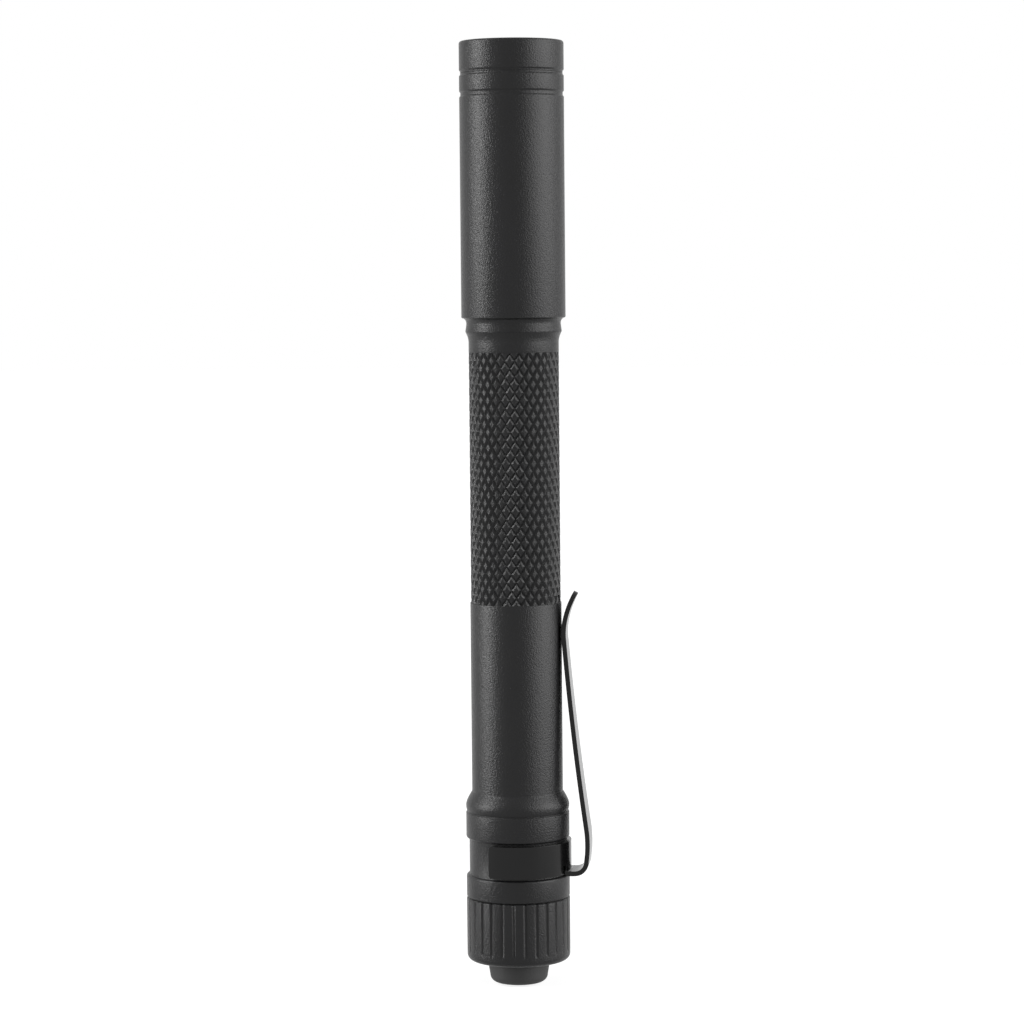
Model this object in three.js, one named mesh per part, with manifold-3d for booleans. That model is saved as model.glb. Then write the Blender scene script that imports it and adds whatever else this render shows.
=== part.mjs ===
// Slim two-cell pocket flashlight: knurled barrel, grooved head, spring clip, fluted tail cap, tail button.
// Millimetres. +Z runs along the axis from the tail button to the lens, the clip is on +X,
// and the origin is the middle of the button's flat end.
import * as THREE from 'three';
import { mergeGeometries, mergeVertices } from 'three/addons/utils/BufferGeometryUtils.js';
import Module from 'manifold-3d';

const wasm = await Module();
wasm.setup();

// Clearances
const FIT = 0.1;                  // radial gap between screwed or seated round parts
const LOOSE_FIT = 0.25;           // radial gap round the cells and the switch cup
const SEAT_GAP = 0.05;            // gap between a wire and what it rests on
const CUT_OVERRUN = 1;            // how far a cutting shape runs past the face it opens

// Cells, two in line
const CELL_D = 10.5;
const CELL_LENGTH = 44.5;
const CELL_NUB_D = 3.8;
const CELL_NUB_HEIGHT = 1.0;
const CELL_EDGE = 0.4;

// Tail button and its boot
const BUTTON_PROUD = 3.35;
const BUTTON_TIP_D = 8.5;
const BUTTON_ROOT_D = 8.86;
const BUTTON_EDGE = 1.1;
const BUTTON_ROOT_LENGTH = 1.2;
const BOOT_END = 1.4;
const BOOT_WALL = 0.85;
const BOOT_FLANGE = 0.8;

// Tail cap
const CAP_LENGTH = 9.37;
const CAP_FILLET = 0.9;
const CAP_REAR_WALL = 1.2;
const CAP_SEAM_CHAMFER = 0.2;
const FLUTE_COUNT = 28;
const FLUTE_DEPTH = 0.22;
const FLUTE_WIDTH = 0.62;
const FLUTE_START = 1.6;
const TAIL_SPIGOT_LENGTH = 6.0;
const TAIL_SPIGOT_WALL = 0.85;
const TAIL_SEAL_GROOVE = 0.45;
const TAIL_SEAL_WIDTH = 1.1;
const TAIL_SEAL_START = 0.6;
const CELL_END_GAP = 0.4;

// Push-push switch in the cap
const PRESS_TRAVEL = 1.6;
const PLUNGER_HEAD = 1.2;
const PLUNGER_STEM_D = 3.5;
const PLUNGER_COLLAR = 1.0;
const PLUNGER_REST_GAP = 0.3;
const CUP_END_WALL = 1.2;
const CUP_WALL = 1.4;
const ROTOR_HEIGHT = 1.2;
const ROTOR_LOBES = 4;
const ROTOR_LOBE_DEPTH = 0.8;
const BRIDGE_THICKNESS = 0.4;
const RETURN_SPRING_LENGTH = 2.6;
const RETURN_SPRING_WIRE = 0.35;
const RETURN_SPRING_D = 4.6;
const RETURN_SPRING_TURNS = 2;
const SWITCH_BASE = 1.0;
const POST_D = 1.8;
const POST_SHANK_D = 1.2;
const SIDE_POST = 0.6;
const BOARD_THICKNESS = 1.0;
const RETAINER_HEIGHT = 2.0;
const RETAINER_WIDTH = 1.3;
const SPANNER_SLOT = 1.0;

// Conical spring behind the cells
const CELL_SPRING_WIRE = 0.5;
const CELL_SPRING_BASE_D = 6.6;
const CELL_SPRING_TIP_D = 4.2;
const CELL_SPRING_TURNS = 4;

// Barrel
const BARREL_WALL = 1.17;
const TAIL_STEP = 0.75;           // how much wider than the cell bore the tail socket is, on the radius
const SEAT_WALL = 0.88;
const SEAT_DEPTH = 0.45;
const REAR_RING = 3.4;
const SEAT_LENGTH = 5.35;
const FRONT_RING = 3.93;
const RING_FILLET = 0.35;
const COLLAR_GROOVE_DEPTH = 0.2;
const COLLAR_GROOVE_HALF = 0.15;
const COLLAR_BEAD_DROP = 0.1;
const SHOULDER_LAND = 0.95;
const SHOULDER_LENGTH = 2.95;
const SHOULDER_ROUND = 0.6;
const KNURL_LENGTH = 36.5;
const KNURL_STARTS = 30;
const KNURL_DIAMOND = 2.28;
const KNURL_CREST_DROP = 0.12;
const KNURL_DEPTH = 0.22;
const KNURL_RELIEF = 0.1;
const KNURL_BACKING = 0.4;
const KNURL_RUNOUT = 0.15;
const NECK_DROP = 0.11;
const NECK_LENGTH = 1.4;
const FLARE_LENGTH = 1.6;
const FRONT_SPIGOT_LENGTH = 8.5;
const FRONT_SPIGOT_WALL = 0.6;

// Head
const HEAD_SEAL = 0.5;
const HEAD_SEAL_WIDTH = 0.4;
const LEDGE_LENGTH = 4.5;
const COVE_WALL = 0.66;
const COVE_TAPER = 1.15;
const COVE_HEIGHT = 0.82;
const RIDGE_RISE = 0.155;
const HEAD_STEP = 0.72;          // how far the head stands out from its cove, on the radius
const HEAD_EDGE = 0.12;
const HEAD_WALL = 1.05;
const HEAD_GROOVE_DEPTH = 0.17;
const HEAD_GROOVE_WIDTH = 0.88;
const HEAD_GROOVE_FLOOR = 0.44;
const HEAD_GROOVE_PITCH = 3.04;
const HEAD_SPIGOT_LENGTH = 1.9;

// Light engine
const CONTACT_D = 3.0;
const CONTACT_HEIGHT = 1.0;
const SINK_LENGTH = 8.0;
const SINK_WALL = 0.9;
const SINK_POCKET = 4.0;
const SINK_STEP = 0.5;
const INDUCTOR_SIZE = 3.0;
const INDUCTOR_HEIGHT = 1.6;
const CHIP_LENGTH = 2.4;
const CHIP_WIDTH = 2.0;
const CHIP_HEIGHT = 0.9;
const DRIVER_PART_SPACING = 0.8;
const WIRE_D = 0.7;
const WIRE_HOLE_D = 1.1;
const WIRE_BEND = 0.6;
const WIRE_LAP = 0.6;
const WIRE_CLEARANCE = 0.3;
const LED_BOARD_D = 7.2;
const LED_BOARD_THICKNESS = 1.0;
const LED_SIZE = 3.45;
const LED_HEIGHT = 0.7;
const LED_DOME_D = 2.6;
const GASKET_D = 9.0;
const GASKET_HEIGHT = 1.3;
const REFLECTOR_LENGTH = 15.4;
const REFLECTOR_HOLE_D = 3.8;
const REFLECTOR_RIM = 0.5;
const REFLECTOR_WALL = 0.8;

// Front window and bezel
const LENS_THICKNESS = 1.4;
const LENS_EDGE = 0.15;
const LENS_SEAL = 0.5;
const LENS_SEAL_WIDTH = 0.6;
const BEZEL_WALL = 0.55;
const BEZEL_LIP = 0.8;
const BEZEL_LIP_WIDTH = 1.0;
const BEZEL_EDGE = 0.4;
const BEZEL_INNER_CHAMFER = 0.3;

// Pocket clip
const CLIP_SHEET = 0.68;
const CLIP_GRIP_GAP = 0.05;
const CLIP_WIDTH = 5.5;
const CLIP_TIP_WIDTH = 4.2;
const CLIP_BAND_HEIGHT = 4.7;
const CLIP_WRAP = 118;            // degrees from the clip's middle to the end of each wing
const CLIP_NOTCH_WIDTH = 0.7;
const CLIP_NOTCH_HEIGHT = 1.3;
const CLIP_FOOT_BEND = 0.6;
const CLIP_HEEL_BEND = 1.75;
const CLIP_REACH = 2.75;           // from the pad to the arm's heel
const CLIP_FLATTENING = 1.2;       // how far out the foot goes from the seat's curve to flat
const CLIP_BULGE = 0.12;
const CLIP_BULGE_RISE = 2.8;
const CLIP_BULGE_ROUND = 1.7;
const CLIP_ARM_SAG = 0.2;
const CLIP_TOUCH_GAP = 0.1;
const CLIP_TOUCH_BELOW_KNURL = 4.3;
const CLIP_TOUCH_ROUND = 1.6;
const CLIP_TIP_RISE = 5.8;
const CLIP_TIP_FLARE = 1.75;
const CLIP_TIP_CURL = 0.6;

// Facets
const SIDES = 32;
const CAP_SIDES = FLUTE_COUNT;
const SMALL_SIDES = 16;
const ARC_STEPS = 2;
const BEND_STEPS = 4;
const PAD_STEPS = 8;
const OVAL_STEPS = 6;
const WIRE_SIDES = 6;
const WIRE_STEPS = 10;
const SPRING_SIDES = 5;
const STEPS_PER_TURN = 8;

// Radii, from the cell outwards
const boreR = CELL_D / 2 + LOOSE_FIT;
const barrelR = boreR + BARREL_WALL;
const tailBoreR = boreR + TAIL_STEP;
const tailSpigotR = tailBoreR - FIT;
const pocketR = tailSpigotR - TAIL_SPIGOT_WALL;
const seatR = tailBoreR + SEAT_WALL;
const collarR = seatR + SEAT_DEPTH;
const knurlCrestR = barrelR - KNURL_CREST_DROP;
const knurlRootR = knurlCrestR - KNURL_DEPTH;
const neckR = barrelR - NECK_DROP;
const frontSpigotR = boreR + FRONT_SPIGOT_WALL;
const headRearBoreR = frontSpigotR + FIT;
const coveR = headRearBoreR + COVE_WALL;
const ridgeR = coveR + RIDGE_RISE;
const headR = coveR + HEAD_STEP;
const grooveR = headR - HEAD_GROOVE_DEPTH;
const headBoreR = headR - HEAD_WALL;
const bezelBoreR = headR - BEZEL_WALL;
const headSpigotR = bezelBoreR - FIT;
const lensR = bezelBoreR - FIT;
const bezelApertureR = bezelBoreR - BEZEL_LIP_WIDTH;
const buttonHoleR = BUTTON_ROOT_D / 2 + FIT;
const bootCavityR = BUTTON_TIP_D / 2 - BOOT_WALL;
const cupR = pocketR - LOOSE_FIT;
const chamberR = cupR - CUP_WALL;
const sinkR = headBoreR - FIT;
const sinkPocketR = sinkR - SINK_WALL;
const sinkCavityR = sinkPocketR - SINK_STEP;
const wireRadius = LED_BOARD_D / 2 + WIRE_D / 2 + WIRE_CLEARANCE;

// Heights, stacked from the button's end to the front rim
const zCapRear = BUTTON_PROUD;
const zSeam = zCapRear + CAP_LENGTH;
const zSpigotEnd = zSeam + TAIL_SPIGOT_LENGTH;
const zPocket = zCapRear + CAP_REAR_WALL;
const zCup = zPocket + BOOT_FLANGE;
const zCollar = zCup + CUP_END_WALL + PLUNGER_REST_GAP;
const zRotor = zCollar + PLUNGER_COLLAR;
const zBridge = zRotor + ROTOR_HEIGHT;
const zReturnSpring = zBridge + BRIDGE_THICKNESS;
const zSwitchBase = zReturnSpring + RETURN_SPRING_LENGTH;
const zSwitchBoard = zSwitchBase + SWITCH_BASE;
const zRetainer = zSwitchBoard + BOARD_THICKNESS;
const zPostTop = zReturnSpring + PRESS_TRAVEL + FIT;
const zSeatLow = zSeam + REAR_RING;
const zSeatHigh = zSeatLow + SEAT_LENGTH;
const zCollarGroove = zSeatHigh + FRONT_RING;
const zShoulder = zCollarGroove + SHOULDER_LENGTH;
const zCellRear = zSpigotEnd + CELL_END_GAP;
const zCellMiddle = zCellRear + CELL_LENGTH;
const zCellFront = zCellMiddle + CELL_LENGTH;
const zDriver = zCellFront + CONTACT_HEIGHT;
const zLedge = zDriver - LEDGE_LENGTH;
const zBarrelEnd = zLedge - HEAD_SEAL;
const zRidge = zBarrelEnd - FRONT_SPIGOT_LENGTH;
const zNeck = zRidge - FLARE_LENGTH;
const zKnurlHigh = zNeck - NECK_LENGTH;
const zKnurlLow = zKnurlHigh - KNURL_LENGTH;
const zCoveLow = zRidge + COVE_TAPER;
const zHeadLow = zCoveLow + COVE_HEIGHT;
const zSinkFront = zDriver + SINK_LENGTH;
const zLed = zSinkFront + LED_BOARD_THICKNESS;
const zReflector = zLed + GASKET_HEIGHT;
const zLens = zReflector + REFLECTOR_LENGTH;
const zBezel = zLens - HEAD_SPIGOT_LENGTH;
const zHeadGroove = zBezel - HEAD_GROOVE_PITCH;
const zLensSeal = zLens + LENS_THICKNESS;
const zLip = zLensSeal + LENS_SEAL;
const zFront = zLip + BEZEL_LIP;

const degrees = (angle) => THREE.MathUtils.degToRad(angle);
const point = (x, y) => new THREE.Vector2(x, y);

// Points of a circular arc, angles in degrees from the first axis.
function arc(cx, cy, radius, from, to, steps = ARC_STEPS) {
  const curve = new THREE.EllipseCurve(cx, cy, radius, radius, degrees(from), degrees(to), to < from);
  return curve.getPoints(steps);
}

// Points of a curve that leaves the first point towards the control point and arrives at the last from it.
function bend(start, control, end, steps = BEND_STEPS) {
  return new THREE.QuadraticBezierCurve(start, control, end).getPoints(steps);
}

// A turned solid. The outline is given as radius and height, anticlockwise, on the axis or round a hole.
function turned(outline, sides = SIDES) {
  const onAxis = outline[0].x === 0;
  const closed = onAxis ? outline : [...outline, outline[0].clone()];
  return new THREE.LatheGeometry(closed, sides).rotateX(Math.PI / 2);
}

// A turned ring of rectangular section.
function ring(innerR, outerR, zLow, zHigh, sides = SIDES) {
  const outline = [point(innerR, zLow), point(outerR, zLow), point(outerR, zHigh), point(innerR, zHigh)];
  return turned(outline, sides);
}

// A turned disc.
function disc(radius, zLow, zHigh, sides = SMALL_SIDES) {
  return turned([point(0, zLow), point(radius, zLow), point(radius, zHigh), point(0, zHigh)], sides);
}

// A squeezed sealing ring, oval in section.
function seal(innerR, outerR, zLow, zHigh) {
  const halfWidth = (outerR - innerR) / 2;
  const halfHeight = (zHigh - zLow) / 2;
  const oval = new THREE.EllipseCurve(innerR + halfWidth, zLow + halfHeight, halfWidth, halfHeight);
  return turned(oval.getPoints(OVAL_STEPS).slice(0, OVAL_STEPS));
}

// A box between two heights, centred on x and y.
function block(sizeX, sizeY, x, y, zLow, zHigh) {
  const height = zHigh - zLow;
  return new THREE.BoxGeometry(sizeX, sizeY, height).translate(x, y, zLow + height / 2);
}

// A flat outline raised along Z.
function raised(outline, zLow, zHigh) {
  const options = { depth: zHigh - zLow, bevelEnabled: false };
  return new THREE.ExtrudeGeometry(new THREE.Shape(outline), options).translate(0, 0, zLow);
}

function roundOutline(radius, sides) {
  return new THREE.EllipseCurve(0, 0, radius, radius).getPoints(sides).slice(0, sides);
}

// A round tube along a curve.
function tube(path, diameter, steps, sides) {
  const section = new THREE.Shape(roundOutline(diameter / 2, sides));
  return new THREE.ExtrudeGeometry(section, { steps, extrudePath: path, bevelEnabled: false });
}

function toSolid(geometry) {
  const bare = new THREE.BufferGeometry();
  bare.setAttribute('position', geometry.getAttribute('position').clone());
  if (geometry.index) bare.setIndex(geometry.index.clone());
  const merged = mergeVertices(bare);
  const corners = Array.from(merged.index.array);
  const kept = [];
  for (let i = 0; i < corners.length; i += 3) {
    const [a, b, c] = corners.slice(i, i + 3);
    if (a !== b && b !== c && c !== a) kept.push(a, b, c);
  }
  return new wasm.Manifold(new wasm.Mesh({
    numProp: 3,
    vertProperties: new Float32Array(merged.getAttribute('position').array),
    triVerts: new Uint32Array(kept),
  }));
}

function toGeometry(solid) {
  const mesh = solid.getMesh();
  const geometry = new THREE.BufferGeometry();
  geometry.setAttribute('position', new THREE.BufferAttribute(new Float32Array(mesh.vertProperties), 3));
  geometry.setIndex(new THREE.BufferAttribute(new Uint32Array(mesh.triVerts), 1));
  return geometry;
}

function cut(body, ...tools) {
  return toGeometry(tools.map(toSolid).reduce((left, tool) => left.subtract(tool), toSolid(body)));
}

function join(...bodies) {
  return toGeometry(bodies.map(toSolid).reduce((left, right) => left.add(right)));
}

function common(a, b) {
  return toGeometry(toSolid(a).intersect(toSolid(b)));
}

// The knurl: crests and crossings of the two sets of grooves alternate on a grid round the grip.
function knurlSleeve() {
  const columns = 2 * KNURL_STARTS;
  const rows = Math.round(KNURL_LENGTH / (KNURL_DIAMOND / 2));
  const innerR = knurlRootR - KNURL_BACKING;
  const vertices = [];
  const faces = [];
  const addRing = (z, radiusAt) => {
    for (let column = 0; column < columns; column += 1) {
      const angle = (column / columns) * 2 * Math.PI;
      vertices.push(radiusAt(column) * Math.cos(angle), radiusAt(column) * Math.sin(angle), z);
    }
  };
  addRing(zKnurlLow, () => innerR);
  for (let row = 0; row <= rows; row += 1) {
    const edge = row === 0 || row === rows;
    const z = zKnurlLow + (KNURL_LENGTH * row) / rows;
    addRing(z, (column) => (edge || (row + column) % 2 === 0 ? knurlRootR : knurlCrestR));
  }
  addRing(zKnurlHigh, () => innerR);
  const rings = rows + 3;
  for (let ringIndex = 0; ringIndex < rings; ringIndex += 1) {
    const lower = ringIndex * columns;
    const upper = ((ringIndex + 1) % rings) * columns;
    for (let column = 0; column < columns; column += 1) {
      const next = (column + 1) % columns;
      const [a, b, c, d] = [lower + column, lower + next, upper + next, upper + column];
      // A cell's diagonal runs along a groove, between its two low corners.
      if ((ringIndex - 1 + column) % 2 === 0) faces.push(a, b, c, a, c, d);
      else faces.push(a, b, d, b, c, d);
    }
  }
  const geometry = new THREE.BufferGeometry();
  geometry.setAttribute('position', new THREE.Float32BufferAttribute(vertices, 3));
  geometry.setIndex(faces);
  return geometry;
}

function barrel() {
  const shoulderStart = point(collarR, zCollarGroove + SHOULDER_LAND);
  const shoulderCorner = point(collarR, shoulderStart.y + SHOULDER_ROUND);
  const flareCorner = point(neckR, zRidge - FLARE_LENGTH / 2);
  const body = turned([
    point(tailBoreR, zSeam),
    point(collarR - CAP_SEAM_CHAMFER, zSeam),
    point(collarR, zSeam + CAP_SEAM_CHAMFER),
    ...arc(collarR - RING_FILLET, zSeatLow - RING_FILLET, RING_FILLET, 0, 90),
    point(seatR, zSeatLow),
    point(seatR, zSeatHigh),
    ...arc(collarR - RING_FILLET, zSeatHigh + RING_FILLET, RING_FILLET, -90, 0),
    point(collarR, zCollarGroove - COLLAR_GROOVE_HALF),
    point(collarR - COLLAR_GROOVE_DEPTH, zCollarGroove),
    point(collarR - COLLAR_BEAD_DROP, zCollarGroove + COLLAR_GROOVE_HALF),
    ...bend(shoulderStart, shoulderCorner, point(barrelR, zShoulder)),
    point(barrelR, zKnurlLow),
    point(knurlRootR - KNURL_RELIEF, zKnurlLow + KNURL_RUNOUT),
    point(knurlRootR - KNURL_RELIEF, zKnurlHigh - KNURL_RUNOUT),
    point(neckR, zKnurlHigh),
    ...bend(point(neckR, zNeck), flareCorner, point(ridgeR, zRidge)),
    point(frontSpigotR, zRidge),
    point(frontSpigotR, zBarrelEnd),
    point(boreR, zBarrelEnd),
    point(boreR, zCellRear),
    point(tailBoreR, zCellRear),
  ]);
  return join(body, knurlSleeve());
}

function headShell() {
  const underside = headR - HEAD_EDGE;
  const coveWidth = underside - coveR;
  const [start, end] = [Math.PI, Math.PI / 2];
  const cove = new THREE.EllipseCurve(underside, zCoveLow, coveWidth, COVE_HEIGHT, start, end, true);
  return turned([
    point(headRearBoreR, zRidge),
    point(ridgeR, zRidge),
    ...cove.getPoints(BEND_STEPS),
    point(headR, zHeadLow + HEAD_EDGE),
    point(headR, zHeadGroove - HEAD_GROOVE_WIDTH / 2),
    point(grooveR, zHeadGroove - HEAD_GROOVE_FLOOR / 2),
    point(grooveR, zHeadGroove + HEAD_GROOVE_FLOOR / 2),
    point(headR, zHeadGroove + HEAD_GROOVE_WIDTH / 2),
    point(headR, zBezel - HEAD_GROOVE_WIDTH / 2),
    point(grooveR, zBezel - HEAD_GROOVE_FLOOR / 2),
    point(grooveR, zBezel),
    point(headSpigotR, zBezel),
    point(headSpigotR, zLens),
    point(headBoreR, zLens),
    point(headBoreR, zDriver),
    point(boreR + FIT, zDriver),
    point(boreR + FIT, zLedge),
    point(headRearBoreR, zLedge),
  ]);
}

function bezelRing() {
  return turned([
    point(bezelBoreR, zBezel),
    point(grooveR, zBezel),
    point(grooveR, zBezel + HEAD_GROOVE_FLOOR / 2),
    point(headR, zBezel + HEAD_GROOVE_WIDTH / 2),
    ...arc(headR - BEZEL_EDGE, zFront - BEZEL_EDGE, BEZEL_EDGE, 0, 90),
    point(bezelApertureR + BEZEL_INNER_CHAMFER, zFront),
    point(bezelApertureR, zFront - BEZEL_INNER_CHAMFER),
    point(bezelApertureR, zLip),
    point(bezelBoreR, zLip),
  ]);
}

function lensWindow() {
  return turned([
    point(0, zLens),
    point(lensR - LENS_EDGE, zLens),
    point(lensR, zLens + LENS_EDGE),
    point(lensR, zLensSeal - LENS_EDGE),
    point(lensR - LENS_EDGE, zLensSeal),
    point(0, zLensSeal),
  ]);
}

// The cup is a parabola through the rear hole and the rim, with a wall of even thickness behind it.
function reflector() {
  const outerR = headBoreR - FIT;
  const rimR = outerR - REFLECTOR_RIM;
  const holeR = REFLECTOR_HOLE_D / 2;
  const fourFocal = (rimR ** 2 - holeR ** 2) / REFLECTOR_LENGTH;
  const heightAt = (radius) => zReflector + (radius ** 2 - holeR ** 2) / fourFocal;
  const inside = [];
  for (let step = 0; step <= OVAL_STEPS; step += 1) {
    const radius = rimR + ((holeR - rimR) * step) / OVAL_STEPS;
    inside.push(point(radius, heightAt(radius)));
  }
  const backR = outerR - REFLECTOR_WALL - REFLECTOR_RIM;
  return turned([
    point(holeR + REFLECTOR_WALL, zReflector),
    point(backR, heightAt(backR) - REFLECTOR_WALL),
    point(outerR, heightAt(backR)),
    point(outerR, zLens),
    ...inside,
  ]);
}

const wireSpots = [-1, 1].map((side) => side * wireRadius);

function heatSink() {
  const slug = turned([
    point(0, zDriver + SINK_POCKET),
    point(sinkCavityR, zDriver + SINK_POCKET),
    point(sinkCavityR, zDriver + BOARD_THICKNESS),
    point(sinkPocketR, zDriver + BOARD_THICKNESS),
    point(sinkPocketR, zDriver),
    point(sinkR, zDriver),
    point(sinkR, zSinkFront),
    point(0, zSinkFront),
  ]);
  const hole = (y) => disc(WIRE_HOLE_D / 2, zDriver, zSinkFront + CUT_OVERRUN).translate(0, y, 0);
  const holes = wireSpots.map(hole);
  return cut(slug, ...holes);
}

// A lead rises through the slug and laps over the emitter board.
function ledWire(y) {
  const inward = -Math.sign(y);
  const zLow = zDriver + BOARD_THICKNESS + SEAT_GAP;
  const zTop = zLed + WIRE_D / 2 + SEAT_GAP;
  const lapEnd = Math.sign(y) * (LED_BOARD_D / 2 - WIRE_LAP);
  const at = (yAt, z) => new THREE.Vector3(0, yAt, z);
  const bendStart = at(y, zTop - WIRE_BEND);
  const bendEnd = at(y + inward * WIRE_BEND, zTop);
  const path = new THREE.CurvePath();
  path.add(new THREE.LineCurve3(at(y, zLow), bendStart));
  path.add(new THREE.QuadraticBezierCurve3(bendStart, at(y, zTop), bendEnd));
  path.add(new THREE.LineCurve3(bendEnd, at(lapEnd, zTop)));
  return tube(path, WIRE_D, WIRE_STEPS, WIRE_SIDES);
}

function ledGasket() {
  const innerR = LED_SIZE * Math.SQRT1_2 + FIT;
  const body = ring(innerR, GASKET_D / 2, zLed, zReflector);
  const channelTop = zLed + WIRE_D + 2 * SEAT_GAP + FIT;
  const channel = block(WIRE_D + 2 * WIRE_CLEARANCE, 2 * GASKET_D, 0, 0, zLed - CUT_OVERRUN, channelTop);
  return cut(body, channel);
}

function ledDome() {
  const radius = LED_DOME_D / 2;
  const top = zLed + LED_HEIGHT;
  const crown = arc(0, top, radius, 0, 90, BEND_STEPS).slice(0, BEND_STEPS);
  return turned([point(0, top), ...crown, point(0, top + radius)], SMALL_SIDES);
}

function cell() {
  const radius = CELL_D / 2;
  const top = CELL_LENGTH - CELL_NUB_HEIGHT;
  return turned([
    point(0, 0),
    point(radius - CELL_EDGE, 0),
    point(radius, CELL_EDGE),
    point(radius, top - CELL_EDGE),
    point(radius - CELL_EDGE, top),
    point(CELL_NUB_D / 2, top),
    point(CELL_NUB_D / 2, CELL_LENGTH),
    point(0, CELL_LENGTH),
  ], SMALL_SIDES);
}

// Each cutter is a vee as wide as the flute at the cap's surface. It runs on outwards by the flute's depth,
// where it is twice as wide.
function fluteCutters() {
  const floor = point(collarR - FLUTE_DEPTH, 0);
  const outside = collarR + FLUTE_DEPTH;
  const outline = [floor, point(outside, -FLUTE_WIDTH), point(outside, FLUTE_WIDTH)];
  const cutters = [];
  for (let flute = 0; flute < FLUTE_COUNT; flute += 1) {
    const angle = (flute / FLUTE_COUNT) * 2 * Math.PI;
    cutters.push(raised(outline, zCapRear + FLUTE_START, zSeam + CUT_OVERRUN).rotateZ(angle));
  }
  return mergeGeometries(cutters);
}

function tailCap() {
  const sealLow = zSeam + TAIL_SEAL_START;
  const sealHigh = sealLow + TAIL_SEAL_WIDTH;
  const sealFloor = tailSpigotR - TAIL_SEAL_GROOVE;
  const shell = turned([
    point(buttonHoleR, zCapRear),
    ...arc(collarR - CAP_FILLET, zCapRear + CAP_FILLET, CAP_FILLET, -90, 0, BEND_STEPS),
    point(collarR, zSeam - CAP_SEAM_CHAMFER),
    point(collarR - CAP_SEAM_CHAMFER, zSeam),
    point(tailSpigotR, zSeam),
    point(tailSpigotR, sealLow),
    point(sealFloor, sealLow),
    point(sealFloor, sealHigh),
    point(tailSpigotR, sealHigh),
    point(tailSpigotR, zSpigotEnd - FIT),
    point(tailSpigotR - FIT, zSpigotEnd),
    point(pocketR, zSpigotEnd),
    point(pocketR, zPocket),
    point(buttonHoleR, zPocket),
  ], CAP_SIDES);
  // Turned by half a side, so that each flute cuts the middle of one.
  shell.rotateZ(Math.PI / CAP_SIDES);
  // The flutes stop at the seam: the spigot beyond it is narrower than their floor.
  return cut(shell, fluteCutters());
}

function tailSeal() {
  const low = zSeam + TAIL_SEAL_START + FIT;
  const high = low + TAIL_SEAL_WIDTH - 2 * FIT;
  return seal(tailSpigotR - TAIL_SEAL_GROOVE + FIT, tailBoreR - SEAT_GAP, low, high);
}

function switchBoot() {
  const tipR = BUTTON_TIP_D / 2;
  const rootR = BUTTON_ROOT_D / 2;
  const flangeR = pocketR - FIT;
  return turned([
    point(0, 0),
    ...arc(tipR - BUTTON_EDGE, BUTTON_EDGE, BUTTON_EDGE, -90, 0, BEND_STEPS),
    point(rootR, zCapRear - BUTTON_ROOT_LENGTH),
    point(rootR, zPocket),
    point(flangeR, zPocket),
    point(flangeR, zCup),
    point(bootCavityR, zCup),
    point(bootCavityR, BOOT_END),
    point(0, BOOT_END),
  ]);
}

function switchPlunger() {
  const stemR = PLUNGER_STEM_D / 2;
  const headRadius = bootCavityR - LOOSE_FIT;
  const collarRadius = chamberR - LOOSE_FIT;
  return turned([
    point(0, BOOT_END),
    point(headRadius, BOOT_END),
    point(headRadius, BOOT_END + PLUNGER_HEAD),
    point(stemR, BOOT_END + PLUNGER_HEAD),
    point(stemR, zCollar),
    point(collarRadius, zCollar),
    point(collarRadius, zRotor),
    point(0, zRotor),
  ], SMALL_SIDES);
}

function switchRotor() {
  const outerR = chamberR - LOOSE_FIT;
  const outline = [];
  for (let corner = 0; corner < 2 * ROTOR_LOBES; corner += 1) {
    const angle = (corner / ROTOR_LOBES) * Math.PI;
    const radius = corner % 2 === 0 ? outerR : outerR - ROTOR_LOBE_DEPTH;
    outline.push(point(radius * Math.cos(angle), radius * Math.sin(angle)));
  }
  return raised(outline, zRotor, zBridge);
}

function switchHousing() {
  const stemHoleR = PLUNGER_STEM_D / 2 + FIT;
  return turned([
    point(stemHoleR, zCup),
    point(cupR, zCup),
    point(cupR, zSwitchBase),
    point(chamberR, zSwitchBase),
    point(chamberR, zCup + CUP_END_WALL),
    point(stemHoleR, zCup + CUP_END_WALL),
  ]);
}

const sidePostX = chamberR - LOOSE_FIT - SIDE_POST / 2;

function switchBase() {
  const body = ring(POST_SHANK_D / 2 + FIT, cupR, zSwitchBase, zSwitchBoard);
  const slotSize = SIDE_POST + 2 * FIT;
  const slotLow = zSwitchBase - CUT_OVERRUN;
  return cut(body, block(slotSize, slotSize, sidePostX, 0, slotLow, zSwitchBoard + CUT_OVERRUN));
}

function centerTerminal() {
  return turned([
    point(0, zPostTop),
    point(POST_D / 2, zPostTop),
    point(POST_D / 2, zSwitchBase),
    point(POST_SHANK_D / 2, zSwitchBase),
    point(POST_SHANK_D / 2, zSwitchBoard),
    point(0, zSwitchBoard),
  ], SMALL_SIDES);
}

function retainingRing() {
  const outerR = pocketR - FIT;
  const innerR = outerR - RETAINER_WIDTH;
  const body = ring(innerR, outerR, zRetainer, zRetainer + RETAINER_HEIGHT);
  const slotLow = zRetainer + RETAINER_HEIGHT / 2;
  const slotHigh = zRetainer + RETAINER_HEIGHT + CUT_OVERRUN;
  return cut(body, block(SPANNER_SLOT, 2 * (outerR + CUT_OVERRUN), 0, 0, slotLow, slotHigh));
}

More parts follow.
